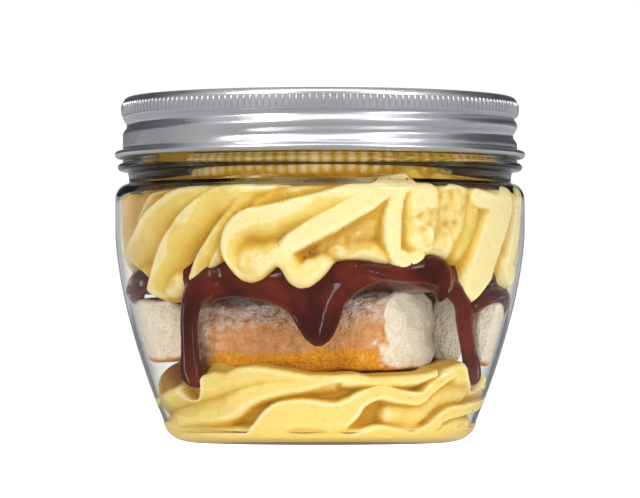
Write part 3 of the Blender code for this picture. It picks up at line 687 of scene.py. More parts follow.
TORN_PATCHES = [Torn(34, 47.0, 10.0, 6.0, 0.7), Torn(41, 53.0, 7.0, 3.0, 0.6), Torn(4, 43.0, 8.5, 3.0, 0.5),
                Torn(13, 46.0, 5.0, 4.0, 0.35)]


# %% The upper cream's mesh

print(f"upper cream: {len(UPPER_ROPES)} ropes on each half, {len(UPPER_EDGE)} points on its edge")

UPPER_ROWS = 130
UPPER_BACK = 3.8
UPPER_TOP = 64.5
TIP_ROUND = 2.2
NECK_BACK = 1.5
CRATERS = [
    (28, 50.6), (33, 49.6), (37, 51.0), (41, 48.4), (43, 50.2), (30, 46.8), (35, 45.4), (40, 45.0),
    (26, 44.8), (33, 43.6), (38, 47.4), (29, 53.0), (36, 53.4), (4, 43.6), (8, 42.8), (1, 42.4),
]
UNDERSIDE = 38.5


def torn_share(angle, height):
    """1 inside a torn patch, 0 outside, with a ragged border."""
    place = round_the_jar(angle, AROUND, height)
    ragged = 0.25 * soft_noise(place, 2.2, 71)
    share = np.zeros(angle.shape)
    for patch in TORN_PATCHES:
        for turn in (0.0, 180.0):
            across = ((angle - patch.angle - turn + 180.0) % 360.0 - 180.0) / patch.wide
            gap = np.hypot(across, (height - patch.height) / patch.tall) + ragged
            share = np.maximum(share, (1.0 - smooth_step(gap, 0.7, 1.0)) * patch.depth)
    return share


def upper_cream():
    """The top layer, from its hanging tips up to the lid."""
    edge = edge_of(UPPER_EDGE, columns)
    share = np.linspace(0.0, 1.0, UPPER_ROWS)[:, None]
    height = edge + (UPPER_TOP - edge) * share
    angle = np.broadcast_to(columns, height.shape)
    depth = cream_depth(UPPER_ROPES + turned_half(UPPER_ROPES), angle, height, UPPER_BACK, 0.36, 23)
    torn = torn_share(angle, height)
    wall = round_the_jar(angle, wall_radius(height), height)
    depth = depth + torn * (0.6 + 0.9 * soft_noise(wall, 2.2, 80) + 0.6 * soft_noise(wall, 1.2, 81))
    depth = depth + NECK_BACK * smooth_step(height, SHOULDER_HEIGHT + 1.2, NECK_HEIGHT + 0.4)
    near_tip = np.clip((edge + TIP_ROUND - height) / TIP_ROUND, 0.0, 1.0)
    depth = depth + TIP_ROUND * (1.0 - np.sqrt(1.0 - near_tip**2))
    touching = np.maximum(depth, -PRESSED_IN)
    fold = 0.5 + 0.5 * folds(touching)
    craters = np.array([round_the_jar(angle, wall_radius(height), height) for angle, height in CRATERS])
    touching = touching + pits(wall, np.vstack([craters, craters * [-1.0, -1.0, 1.0]]), 0.55, 0.5)
    touching = touching + pits(wall, bubble_places(34.0, 56.0, 130, 6), 0.4, 0.4)
    side = round_the_jar(angle, wall_radius(height) - touching, height)
    rim = wall_radius(edge) - touching[0]
    under = []
    for step in np.linspace(0.8, 0.05, 10):
        level = edge + (UNDERSIDE - edge) * smooth_step(step, 0.0, 0.3)
        under.append(round_the_jar(columns, rim * (1.0 - step), level))
    top_radius = wall_radius(UPPER_TOP) - touching[-1]
    over = [round_the_jar(columns, top_radius * (1.0 - step), UPPER_TOP + 0.6 * step)
            for step in (0.05, 0.3, 0.6, 0.9)]
    piece = loft("upper_swirl", np.array([*under, *side, *over]))
    # layers for the painted light and shade: groove depth and creases for painted shade, crests and pressed
    # flats for painted light
    paint_rows(piece, len(under) * COLUMNS, groove=depth / 3.6,
               pressed=smooth_step(-depth, -0.05, 0.12), torn=torn, fold=fold)
    return piece


upper = upper_cream()
report(upper)

# %% [markdown]
# ## Banana cream
# Whipped cream with fruit in it is pale where light falls on it and turns
# golden in its folds, because light that goes in there comes out through more
# of it. This light and shade is painted into the colour: painted shade follows
# the groove depth and the creases stored in the mesh, painted light lies on the
# crests and on the flats pressed against the wall, and painted shade darkens a
# band round the foot. There is cloudy variation, and a fine froth of bubbles as
# relief. A little light passes under the surface.

# %% Cream material


def cream_material():
    """Painted light on crests and pressed flats, painted shade in grooves, creases and at the foot, froth and a
    soft glow.
    """
    recipe = Recipe("banana_cream")
    groove = recipe.painted("groove")
    fold = recipe.painted("fold")
    cloudy = recipe.spread(recipe.noise(5.0), 0.3, 0.7, -0.12, 0.12)
    depth = recipe.sum(groove, cloudy)
    # painted shade: the colour turns golden and darker with the groove depth
    crest = recipe.blend(recipe.spread(depth, 0.02, 0.42), tint(238, 209, 112), tint(223, 181, 66))
    colour = recipe.blend(recipe.spread(depth, 0.4, 1.0), crest, tint(204, 154, 44))
    # painted light: the flats pressed against the wall are painted paler
    pressed_light = recipe.sum(recipe.painted("pressed"), 0.8, "MULTIPLY")
    colour = recipe.blend(pressed_light, colour, tint(243, 228, 166))
    torn = recipe.spread(recipe.painted("torn"), 0.0, 1.0, 0.0, 0.5)
    colour = recipe.blend(torn, colour, tint(244, 224, 162))
    # painted shade in the creases and painted highlight on the crests
    colour = recipe.blend(recipe.spread(fold, 0.46, 0.05, 0.0, 0.6), colour, tint(206, 154, 42))
    colour = recipe.blend(recipe.spread(fold, 0.6, 1.0, 0.0, 0.6), colour, tint(252, 238, 184))
    height = recipe.add("ShaderNodeSeparateXYZ", Vector=recipe.place).outputs["Z"]
    shaded = recipe.spread(height, 1.5 * MM, 2.3 * MM, 0.7, 0.0)
    colour = recipe.blend(shaded, colour, tint(140, 104, 40))
    froth = recipe.spread(recipe.cells(0.7), 0.0, 0.35)
    clouds = recipe.noise(1.6, 5.0, 0.6)
    normal = recipe.relief(froth, 0.12, recipe.relief(clouds, 0.34))
    return recipe.surface(
        Base_Color=colour, Roughness=0.46, Normal=normal, Subsurface_Weight=0.04,
        Subsurface_Radius=(1.0, 0.62, 0.25), Subsurface_Scale=1.4 * MM, Specular_IOR_Level=0.2,
    )


banana_cream = cream_material()
for piece, node in ((lower, "cream_lower"), (upper, "cream_upper")):
    piece.data.materials.append(banana_cream)
    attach(piece, "root")
    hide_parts(node)

# %% [markdown]
# ## Chocolate sauce
# The sauce was poured warm over the sponge. It lies as a disc with a thick
# rounded edge, hangs over the fingers in a blob, and two runs have slid down
# the wall. Disc and runs are separate tubes at first. A voxel remesh joins
# them into one skin, as running sauce joins, and a smooth takes the steps out.

# %% The sauce's disc and runs

SAUCE_MIDDLE, SAUCE_TOP, SAUCE_CREST = 34.2, 37.6, 43.0
SAUCE_ROWS = 44
EDGE_SPREAD, EDGE_FALL = 4.6, 2.8
SAUCE_EDGE = [
    (-90, 33.4), (-80, 34.6), (-70, 36.0), (-60, 36.4), (-52, 36.0), (-46, 33.6), (-42, 31.4),
    (-39, 30.4), (-35.6, 31.4), (-30.3, 32.0), (-25.2, 31.9), (-20.3, 31.4), (-15.8, 30.7),
    (-12.1, 29.8), (-9.6, 28.4), (-7.8, 26.0), (-5.2, 23.0), (-2.0, 21.3), (1.0, 21.4), (3.6, 22.8),
    (5.6, 25.0), (6.9, 28.0), (8.6, 31.1), (13.1, 33.7), (18.0, 35.2), (23.3, 35.8), (27.2, 35.4),
    (31.7, 34.4), (37.4, 33.4), (42.0, 33.4), (46.0, 34.0), (52.0, 34.0), (58.0, 33.6), (66.0, 33.6),
    (76.0, 33.6), (84.0, 33.0),
]
RIGHT_FOLD = [
    (13.0, 38.2, 2.4, 1.4, 1.6), (20, 37.6, 1.8, 2.0, 1.8), (26.5, 37.8, 1.4, 2.6, 2.0),
    (32, 38.2, 1.3, 3.2, 2.1), (37.0, 37.4, 1.4, 3.2, 2.0), (39.4, 34.9, 1.7, 2.0, 1.8),
    (39.4, 32.4, 2.2, 1.2, 1.3),
]
RIGHT_ARCH = [
    (52.5, 27.6, 1.9, 1.2, 1.4), (55, 30.0, 1.7, 1.5, 1.6), (60, 32.0, 1.7, 1.8, 1.7),
    (67, 33.0, 1.7, 2.0, 1.8), (76, 32.6, 1.8, 2.1, 1.7), (86, 30.6, 1.9, 1.9, 1.5),
    (94, 28.4, 2.0, 1.4, 1.3),
]
LEFT_ARM = [
    (-62, 37.4, 4.4, 2.0, 1.8), (-70, 36.0, 2.4, 2.8, 2.0), (-76, 34.8, 2.0, 3.2, 2.0),
    (-88, 33.6, 2.4, 3.0, 1.8),
]


def sauce_run(name, stations, sides=20):
    """One run of sauce: an oval tube along its stations, rounded off at both ends."""
    path = smooth_path(stations, 10)
    turn = np.linspace(0.0, 2.0 * math.pi, sides, endpoint=False)
    spots = round_the_jar(path[:, 0], wall_radius(path[:, 1]) - path[:, 2], path[:, 1])
    ahead = np.gradient(spots, axis=0)
    ahead /= np.linalg.norm(ahead, axis=1)[:, None]
    outward = round_the_jar(path[:, 0], 1.0, 0.0)
    across = np.cross(ahead, outward)
    across /= np.linalg.norm(across, axis=1)[:, None]
    outward = np.cross(across, ahead)
    rings = []
    last = len(path) - 1
    closing = [math.radians(degrees) for degrees in np.linspace(18, 90, 5)]
    opening = [math.radians(degrees) for degrees in np.linspace(90, 18, 5)]
    sections = [(0, math.cos(a), -math.sin(a)) for a in opening]
    sections += [(i, 1.0, 0.0) for i in range(len(path))]
    sections += [(last, math.cos(a), math.sin(a)) for a in closing]
    for i, size, along in sections:
        half_width, half_thick = path[i, 3] * max(size, 0.05), path[i, 4] * max(size, 0.05)
        middle = spots[i] + ahead[i] * along * path[i, 4]
        sideways = half_width * np.cos(turn)[:, None] * across[i]
        rings.append(middle + sideways + half_thick * np.sin(turn)[:, None] * outward[i])
    return loft(name, np.array(rings))


def sauce_disc():
    """The layer itself. Its front hangs down to a curved edge and rounds off towards it on every side."""
    low = edge_of(SAUCE_EDGE, columns)
    share = np.linspace(0.0, 1.0, SAUCE_ROWS)[:, None]
    height = low + (SAUCE_CREST - low) * share
    angle = np.broadcast_to(columns, height.shape)
    to_edge = np.full(height.shape, np.inf)
    for step in np.arange(-24, 25):
        across = math.radians(step * 360.0 / COLUMNS) * AROUND
        to_edge = np.minimum(to_edge, np.hypot(across, height - np.roll(low, -step)))
    place = round_the_jar(angle, AROUND, height)
    swell = 1.2 + 0.5 * soft_noise(place, 9.0, 41)
    edge = np.clip(1.0 - to_edge / EDGE_SPREAD, 0.0, 1.0)
    depth = swell + EDGE_FALL * (1.0 - np.sqrt(1.0 - edge**2)) + 0.5 * np.maximum(height - 36.0, 0.0)
    front = round_the_jar(angle, wall_radius(height) - depth, height)
    under = [round_the_jar(columns, radius, SAUCE_MIDDLE) for radius in (8.0, 18.0, 28.0)]
    under.append(round_the_jar(columns, 34.0, np.clip(low + 2.0, 32.6, 33.2)))
    over = [round_the_jar(columns, radius, SAUCE_TOP) for radius in (32.0, 20.0, 8.0)]
    return loft("poured_sauce", np.array([*under, *front, *over]))


# %% Join the sauce into one skin

SAUCE_VOXEL = 0.46


def applied(piece):
    """Turn the piece's modifiers into plain mesh."""
    depsgraph = bpy.context.evaluated_depsgraph_get()
    finished = bpy.data.meshes.new_from_object(piece.evaluated_get(depsgraph))
    piece.modifiers.clear()
    old, piece.data = piece.data, finished
    bpy.data.meshes.remove(old)
    finished.name = piece.name
    return piece


def joined(piece, parts):
    """Put the parts' faces into the piece's mesh."""
    whole = bmesh.new()
    whole.from_mesh(piece.data)
    for part in parts:
        whole.from_mesh(part.data)
        bpy.data.objects.remove(part, do_unlink=True)
    whole.to_mesh(piece.data)
    whole.free()
    return piece


def melted(piece, voxel, rounds):
    """One closed skin over all the piece's overlapping parts, smoothed."""
    remesh = piece.modifiers.new("melt", "REMESH")
    remesh.mode = "VOXEL"
    remesh.voxel_size = voxel * MM
    soften = piece.modifiers.new("soften", "SMOOTH")
    soften.factor = 0.5
    soften.iterations = rounds
    applied(piece)
    piece.data.shade_smooth()
    return piece


runs = [sauce_run(f"run_{number}", stations) for number, stations in
        enumerate((LEFT_RUN, RIGHT_RUN, RIGHT_FOLD, RIGHT_ARCH, LEFT_ARM))]
sauce = melted(joined(sauce_disc(), runs), SAUCE_VOXEL, 5)
report(sauce)

# %% [markdown]
# The sauce is nearly black where it is thick and warm brown where light gets
# through it. It is glossy, so soft highlights from the lamps run along every
# rounded edge.

# %% Sauce material


def sauce_material():
    """Dark glossy chocolate with a warmer, thinner look in broad patches."""
    recipe = Recipe("chocolate_sauce")
    patches = recipe.spread(recipe.noise(9.0, 2.0), 0.38, 0.66)
    colour = recipe.blend(patches, tint(56, 15, 8), tint(98, 34, 18))
    ripples = recipe.relief(recipe.noise(3.0, 2.0, 0.4), 0.12)
    return recipe.surface(
        Base_Color=colour, Roughness=0.12, Normal=ripples, Specular_IOR_Level=0.3,
        Subsurface_Weight=0.08, Subsurface_Radius=(1.0, 0.3, 0.15), Subsurface_Scale=1.2 * MM,
    )


sauce.data.materials.append(sauce_material())
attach(sauce, "root")
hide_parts("chocolate_sauce")

# %% [markdown]
# ## Sponge fingers
# The front one lies with its baked side towards the wall: dusted with sugar
# on top, browned along its lower edge, and cut at its right end, where the
# pale crumb shows. The smaller pieces show mostly crumb, with a browned skin
# below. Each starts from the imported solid, is remeshed fine enough to carry
# pores, and is then roughened.

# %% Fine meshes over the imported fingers

SPONGE_VOXEL = 0.45
END_SLANT = 20.0
# Centre, length, depth and height in millimetres, and the turn round the upright axis
Finger = namedtuple("Finger", "centre size turn lift")
FINGERS = {
    "sponge_front": Finger((-2.7, -20.5, 24.2), (45.6, 21.6, 18.2), 12.0, 2.8),
    "sponge_left": Finger((-35.8, 2.0, 25.2), (34.0, 15.0, 14.4), 92.0, 0.0),
    "sponge_right": Finger((38.4, 3.0, 24.8), (34.0, 10.4, 15.0), 87.0, 0.0),
    "sponge_inner_right": Finger((27.4, -2.6, 25.4), (17.0, 7.2, 15.6), 86.0, 0.0),
    "sponge_back": Finger((1.6, 21.8, 24.2), (50.0, 21.0, 16.4), 186.0, -1.0),
}


def copied_node(name):
    """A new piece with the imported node's mesh, its points merged."""
    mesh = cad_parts[name].data.copy()
    mesh.materials.clear()
    shape = bmesh.new()
    shape.from_mesh(mesh)
    bmesh.ops.remove_doubles(shape, verts=shape.verts, dist=0.001 * MM)
    shape.to_mesh(mesh)
    shape.free()
    piece = bpy.data.objects.new(name + "_crumb", mesh)
    bpy.context.scene.collection.objects.link(piece)
    return piece


def finger_places(piece, finger):
    """Each point's place along, across and up the finger, from -1 to 1 of its half size."""
    turn, lift = math.radians(finger.turn), math.radians(finger.lift)
    along = np.array([math.cos(turn) * math.cos(lift), -math.sin(turn) * math.cos(lift), math.sin(lift)])
    across = np.array([math.sin(turn), math.cos(turn), 0.0])
    up = np.cross(along, across)
    offset = mesh_points(piece) - np.array(finger.centre)
    return [2.0 * offset @ axis / size for axis, size in zip((along, across, up), finger.size)]


def roughen(piece, seed):
    """Push the skin in and out as an open crumb is."""
    points, normals = mesh_points(piece), mesh_normals(piece)
    push = 0.35 * soft_noise(points, 4.0, seed) + 0.16 * soft_noise(points, 1.4, seed + 1)
    push -= 0.25 * smooth_step(soft_noise(points, 1.7, seed + 2), 0.45, 0.9)
    moved = points + normals * push[:, None]
    piece.data.vertices.foreach_set("co", (moved * MM).ravel())
    piece.data.update()


def sponge(name, seed, crumb_side):
    """A finger with its crumb, toasted and dusted parts painted on."""
    piece = melted(copied_node(name), SPONGE_VOXEL, 2)
    roughen(piece, seed)
    finger = FINGERS[name]
    along, across, up = finger_places(piece, finger)
    normals = mesh_normals(piece)
    turn = math.radians(finger.turn)
    cut = turn + math.radians(END_SLANT)
    facing_end = normals @ np.array([math.cos(cut), -math.sin(cut), 0.0])
    points = mesh_points(piece)
    ragged = 0.12 * soft_noise(points, 3.0, seed + 5)
    skin = np.maximum(np.abs(up), np.abs(across))
    if crumb_side:
        crumb = 1.0 - smooth_step(np.abs(up + ragged), 0.80, 0.95)
        toast = smooth_step(-up + ragged, 0.55, 0.95)
    else:
        crumb = smooth_step(facing_end, 0.72, 0.88) * (1.0 - smooth_step(skin + ragged, 0.88, 0.99))
        toast = smooth_step(-up + ragged, 0.28, 0.52) * (1.0 - crumb)
    dust = smooth_step(up + 0.5 * ragged, 0.0, 0.7) * (1.0 - crumb)
    dust = np.maximum(dust, 0.7 * smooth_step(-along + ragged, 0.75, 1.0) * (1.0 - toast))
    paint(piece, crumb=crumb, toast=toast, dust=dust)
    return piece


fingers = {}
for number, (name, crumb_side) in enumerate(
    (("sponge_front", False), ("sponge_left", True), ("sponge_right", True), ("sponge_inner_right", True),
     ("sponge_back", False))
):
    fingers[name] = sponge(name, 50 + 7 * number, crumb_side)
    report(fingers[name])

# %% [markdown]
# One material serves all the fingers. It starts from the baked skin, adds the
# orange band where the finger lay on the tray, the sugar dust, and last the
# open crumb. Pores are scattered cells whose middles sink, with painted shade
# darkening them.

# %% Sponge material


def sponge_material():
    """Baked skin, toasted band, sugar dust and pale crumb."""
    recipe = Recipe("sponge")
    crumb, toast, dust = (recipe.painted(layer) for layer in ("crumb", "toast", "dust"))
    mottle = recipe.noise(2.2, 5.0, 0.65)
    fine = recipe.noise(0.7, 4.0, 0.6)
    skin = recipe.blend(recipe.spread(mottle, 0.3, 0.7), tint(196, 122, 58), tint(228, 176, 122))
    baked = recipe.blend(recipe.spread(fine, 0.3, 0.72), tint(214, 128, 12), tint(246, 178, 40))
    colour = recipe.blend(toast, skin, baked)
    sugar = recipe.sum(recipe.spread(mottle, 0.36, 0.62), dust, "MULTIPLY")
    colour = recipe.blend(recipe.spread(sugar, 0.0, 1.0, 0.0, 0.85), colour, tint(255, 246, 238))
    inside = recipe.blend(recipe.spread(fine, 0.3, 0.7), tint(244, 228, 194), tint(255, 246, 226))
    colour = recipe.blend(crumb, colour, inside)
    pores = recipe.spread(recipe.cells(1.3), 0.05, 0.42)
    small_pores = recipe.spread(recipe.cells(0.62), 0.05, 0.5)
    holes = recipe.sum(recipe.sum(pores, small_pores, "MULTIPLY"), fine, "ADD")
    # painted shade in the middles of the pores
    colour = recipe.blend(recipe.spread(pores, 0.0, 0.6, 0.14, 0.0), colour, tint(196, 140, 80))
    normal = recipe.relief(holes, 0.2)
    return recipe.surface(
        Base_Color=colour, Roughness=0.8, Normal=normal, Subsurface_Weight=0.06,
        Subsurface_Radius=(1.0, 0.7, 0.4), Subsurface_Scale=1.0 * MM, Specular_IOR_Level=0.25,
    )


baked_sponge = sponge_material()
for name, piece in fingers.items():
    piece.data.materials.append(baked_sponge)
    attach(piece, "root")
    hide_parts(name)

# %% [markdown]
# ## The clear jar
# The pot is blown from clear plastic, 0.8 mm thick. It is one closed skin: up
# the inside, over the rim, and down the outside with its support ring, neck,
# shoulder and heel. Many sides keep the reflections smooth, and a slow wave in
# the wall, as blown plastic has, breaks them up a little.

# %% The jar's mesh

JAR_SIDES = 240


def arc(centre, radii, start, end, steps):
    """Points of an elliptic arc as (radius, height), angles in degrees."""
    turns = np.radians(np.linspace(start, end, steps))
    return np.stack([centre[0] + radii[0] * np.cos(turns), centre[1] + radii[1] * np.sin(turns)], axis=1)


def jar_inside():
    """Inner side from the middle of the floor up to the rim."""
    floor = [(0.5, JAR_FLOOR), (12.0, JAR_FLOOR), (24.0, JAR_FLOOR)]
    heel = [(float(wall_radius(z)), z) for z in np.linspace(JAR_FLOOR, HEEL_HEIGHT, 10)]
    body = [(float(wall_radius(z)), z) for z in np.linspace(HEEL_HEIGHT, SHOULDER_HEIGHT, 40)[1:]]
    shoulder = arc((FINISH_RADIUS - WALL, SHOULDER_HEIGHT),
                   (BELLY_RADIUS - FINISH_RADIUS, NECK_HEIGHT - WALL - SHOULDER_HEIGHT), 0.0, 90.0, 12)[1:]
    return np.vstack([floor, heel, body, shoulder, [(FINISH_RADIUS - WALL, RIM_HEIGHT - 0.2)]])


def jar_outside():
    """Outer side from the rim down to the middle of the base."""
    rim = [
        (FINISH_RADIUS - 0.4, RIM_HEIGHT), (FINISH_RADIUS, RIM_HEIGHT - 0.2),
        (FINISH_RADIUS, STOP_TOP + 0.3), (FINISH_RADIUS + 0.3, STOP_TOP),
        (STOP_RADIUS - 0.2, STOP_TOP), (STOP_RADIUS, STOP_TOP - 0.2),
        (STOP_RADIUS, RING_TOP + 0.2), (STOP_RADIUS + 0.2, RING_TOP),
    ]
    ring_middle, ring_half = 0.5 * (RING_BOTTOM + RING_TOP), 0.5 * (RING_TOP - RING_BOTTOM)
    ring = arc((RING_RADIUS - ring_half, ring_middle), (ring_half, ring_half), 90.0, -90.0, 11)
    neck = arc((NECK_RADIUS + 0.6, NECK_HEIGHT + 1.0), (0.6, RING_BOTTOM - NECK_HEIGHT - 1.0), 90.0, 180.0, 6)
    round_off = (BELLY_RADIUS - NECK_RADIUS, NECK_HEIGHT - SHOULDER_HEIGHT)
    shoulder = arc((NECK_RADIUS, SHOULDER_HEIGHT), round_off, 90.0, 0.0, 14)
    body = [(float(belly_radius(z)), z) for z in np.linspace(SHOULDER_HEIGHT, HEEL_HEIGHT, 44)[1:]]
    heel = arc((FOOT_RADIUS, HEEL_HEIGHT), (HEEL_RADIUS - FOOT_RADIUS, HEEL_HEIGHT), 0.0, -90.0, 14)[1:]
    base = [(FOOT_INNER_RADIUS, 0.0)]
    base += [(radius, BASE_PUSH_UP) for radius in (FOOT_INNER_RADIUS - 1.2, 8.0, 0.5)]
    return np.vstack([rim, ring, neck, shoulder, body, heel, base])


def clear_jar():
    """The blown jar as one closed skin."""
    angles = np.arange(JAR_SIDES) * 360.0 / JAR_SIDES
    profile = np.vstack([jar_outside()[::-1], jar_inside()[::-1]])
    rings = np.array([round_the_jar(angles, radius, height) for radius, height in profile])
    wave = 0.05 * soft_noise(rings, 11.0, 91)
    sides = (rings[..., 2] > HEEL_HEIGHT) & (rings[..., 2] < SHOULDER_HEIGHT)
    outward = rings * [1.0, 1.0, 0.0] / np.maximum(np.linalg.norm(rings[..., :2], axis=-1), 1.0)[..., None]
    rings = rings + outward * (np.where(sides, wave, 0.0) - 0.05)[..., None]
    return loft("jar_wall", rings)


jar = clear_jar()
report(jar)

# %% [markdown]
# Clear plastic bends light and reflects softly at a slant. Solid plastic bends
# it more than water does. This wall is given a weaker bend, because the full
# one fills the thin neck with dark lines. Lamps have to light the food through
# the wall, so rays on their way to a lamp, and light already scattered by the
# food, pass it unbent.

# %% Clear plastic


def clear_plastic_material():
    """Clear plastic that lets lamps through to the food."""
    recipe = Recipe("clear_plastic")
    waves = recipe.relief(recipe.noise(14.0, 1.0, 0.3), 0.05)
    recipe.surface(
        Base_Color=(0.975, 0.98, 0.985, 1.0), Roughness=0.0, IOR=1.3, Transmission_Weight=1.0, Normal=waves,
        Specular_IOR_Level=0.12,
    )
    shader = next(node for node in recipe.nodes if node.type == "BSDF_PRINCIPLED")
    output = next(node for node in recipe.nodes if node.type == "OUTPUT_MATERIAL")
    rays = recipe.add("ShaderNodeLightPath")
    clear = recipe.add("ShaderNodeBsdfTransparent")
    surface = shader.outputs[0]
    for kind in ("Is Shadow Ray", "Is Diffuse Ray"):
        choice = recipe.add("ShaderNodeMixShader")
        for socket, source in zip(choice.inputs, (rays.outputs[kind], surface, clear.outputs[0])):
            recipe.links.new(source, socket)
        surface = choice.outputs[0]
    recipe.links.new(surface, output.inputs["Surface"])
    return recipe.material


jar.data.materials.append(clear_plastic_material())
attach(jar, "root")
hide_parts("jar")

# %% [markdown]
# ## The screw lid
# The lid is thin aluminium sheet. A roller has pressed the screw thread into
# its skirt, its lower edge is curled into a round hem, and a band of fine ribs
# near the top gives the fingers a grip. Skirt, thread and hem are one turned
# shell, worked out row by row.

# %% The lid's shell

LID_SHEET, LID_TOP, LID_CORNER = 0.5, 77.2, 1.6
LID_RADIUS = 44.2
HEM_RADIUS, HEM_BOTTOM, HEM_TOP = 46.0, 63.5, 65.1
THREAD_PITCH, THREAD_DEPTH, THREAD_HALF_WIDTH = 4.4, 0.9, 2.0
THREAD_START_ANGLE, THREAD_START_HEIGHT, THREAD_TURNS, THREAD_RUN_OUT = -40.0, 66.9, 1.5, 26.0
RIB_BOTTOM, RIB_TOP, RIB_COUNT = 72.9, 75.8, 190
LID_COLUMNS = 480


def thread_drop(angle, height):
    """How deep the rolled thread lies at each place of the skirt."""
    deepest = np.zeros(np.broadcast(angle, height).shape)
    whole = 360.0 * THREAD_TURNS
    for turn in range(-1, 3):
        along = angle - THREAD_START_ANGLE + 360.0 * turn
        middle = THREAD_START_HEIGHT + THREAD_PITCH * along / 360.0
        run_out = np.clip(np.minimum(along, whole - along) / THREAD_RUN_OUT, 0.0, 1.0)
        across = np.clip(np.abs(height - middle) / THREAD_HALF_WIDTH, 0.0, 1.0)
        drop = THREAD_DEPTH * smooth_step(run_out, 0.0, 1.0) * 0.5 * (1.0 + np.cos(np.pi * across))
        deepest = np.maximum(deepest, drop)
    return deepest


def lid_shell():
    """Lid sheet: outer side from the middle of the top down, round the hem, and back up inside."""
    top = [(0.5, LID_TOP), (20.0, LID_TOP), (38.0, LID_TOP), (41.8, LID_TOP)]
    corner = arc((LID_RADIUS - LID_CORNER, LID_TOP - LID_CORNER), (LID_CORNER, LID_CORNER), 90.0, 0.0, 9)
    skirt = [(LID_RADIUS, z) for z in np.linspace(LID_TOP - LID_CORNER - 0.1, HEM_TOP + 0.5, 56)]
    half = 0.5 * (HEM_TOP - HEM_BOTTOM)
    flare = [(LID_RADIUS + 0.15, HEM_TOP + 0.2)]
    hem = arc((HEM_RADIUS - half, HEM_BOTTOM + half), (half, half), 100.0, -160.0, 22)
    outside = np.vstack([top, corner, skirt, flare, hem])
    inside = np.vstack([top, corner, skirt])[::-1] - [LID_SHEET, 0.0]
    inside[-len(top) - len(corner):, 1] -= LID_SHEET
    inside[:, 0] = np.maximum(inside[:, 0], 0.4)
    angles = np.arange(LID_COLUMNS) * 360.0 / LID_COLUMNS
    rings = []
    for radius, height in np.vstack([outside, inside])[::-1]:
        on_skirt = radius > LID_RADIUS - 1.0 and HEM_TOP < height < RIB_BOTTOM + 0.4
        drop = thread_drop(angles, height) if on_skirt else np.zeros(LID_COLUMNS)
        fade = smooth_step(height, HEM_TOP, HEM_TOP + 0.8)
        fade *= 1.0 - smooth_step(height, RIB_BOTTOM - 0.6, RIB_BOTTOM)
        rings.append(round_the_jar(angles, radius - drop * fade, height))
    return loft("lid_sheet", np.array(rings))


lid = lid_shell()
report(lid)

# %% [markdown]
# The grip band is the same small rib again and again, which is work for
# Geometry Nodes: one rounded rib, set on each point of a circle and turned to
# face out. The tree's inputs are the number of ribs, the circle's radius and
# height, and a rib's size. Realize Instances makes the copies real, and the
# result is kept as a plain mesh.

# %% Grip ribs with Geometry Nodes


def rib_tree(material):
    """A node group that sets ribs round a circle."""
    tree = bpy.data.node_groups.new("ribs_round_a_lid", "GeometryNodeTree")
    sizes = {"Count": RIB_COUNT, "Radius": LID_RADIUS * MM, "Height": 0.5 * (RIB_TOP + RIB_BOTTOM) * MM,
             "Rib Width": 0.5 * MM, "Rib Depth": 0.42 * MM, "Rib Length": (RIB_TOP - RIB_BOTTOM) * MM}
    tree.interface.new_socket("Geometry", in_out="OUTPUT", socket_type="NodeSocketGeometry")
    for name, size in sizes.items():
        kind = "NodeSocketInt" if name == "Count" else "NodeSocketFloat"
        tree.interface.new_socket(name, in_out="INPUT", socket_type=kind).default_value = size
    nodes, link = tree.nodes, tree.links.new
    given, out = nodes.new("NodeGroupInput"), nodes.new("NodeGroupOutput")
    circle = nodes.new("GeometryNodeMeshCircle")
    link(given.outputs["Count"], circle.inputs["Vertices"])
    link(given.outputs["Radius"], circle.inputs["Radius"])
    lifted = nodes.new("GeometryNodeTransform")
    lift = nodes.new("ShaderNodeCombineXYZ")
    link(given.outputs["Height"], lift.inputs["Z"])
    link(lift.outputs[0], lifted.inputs["Translation"])
    link(circle.outputs["Mesh"], lifted.inputs["Geometry"])
    rib = nodes.new("GeometryNodeMeshUVSphere")
    rib.inputs["Segments"].default_value = 8
    rib.inputs["Rings"].default_value = 6
    rib.inputs["Radius"].default_value = 1.0
    size = nodes.new("ShaderNodeCombineXYZ")
    halves = []
    for name in ("Rib Depth", "Rib Width", "Rib Length"):
        half = nodes.new("ShaderNodeMath")
        half.operation = "MULTIPLY"
        half.inputs[1].default_value = 1.0 if name == "Rib Depth" else 0.5
        link(given.outputs[name], half.inputs[0])
        halves.append(half.outputs[0])
    for source, socket in zip(halves, size.inputs):
        link(source, socket)
    place = nodes.new("GeometryNodeInstanceOnPoints")
    facing = nodes.new("FunctionNodeAlignRotationToVector")
    facing.axis = "X"
    facing.pivot_axis = "Z"
    outward = nodes.new("ShaderNodeVectorMath")
    outward.operation = "MULTIPLY"
    outward.inputs[1].default_value = (1.0, 1.0, 0.0)
    link(nodes.new("GeometryNodeInputPosition").outputs[0], outward.inputs[0])
    link(outward.outputs[0], facing.inputs["Vector"])
    link(lifted.outputs[0], place.inputs["Points"])
    link(rib.outputs["Mesh"], place.inputs["Instance"])
    link(facing.outputs[0], place.inputs["Rotation"])
    link(size.outputs[0], place.inputs["Scale"])
    real = nodes.new("GeometryNodeRealizeInstances")
    finish = nodes.new("GeometryNodeSetMaterial")
    finish.inputs["Material"].default_value = material
    link(place.outputs[0], real.inputs[0])
    link(real.outputs[0], finish.inputs["Geometry"])
    link(finish.outputs[0], out.inputs[0])
    return tree, sizes


def grip_ribs(material):
    """The grip band as a plain mesh."""
    tree, sizes = rib_tree(material)
    ribs = new_piece("lid_ribs", np.zeros((3, 3)), [])
    modifier = ribs.modifiers.new("ribs", "NODES")
    modifier.node_group = tree
    for item in tree.interface.items_tree:
        if item.in_out == "INPUT" and item.name in sizes:
            modifier[item.identifier] = sizes[item.name]
    applied(ribs)
    ribs.data.shade_smooth()
    return ribs


# %% [markdown]
# The metal is satin, not mirror-bright: rolling has left fine lines that run
# round the lid, so the relief is noise stretched along the turn, and roughness
# varies a little from place to place.

# %% Satin aluminium


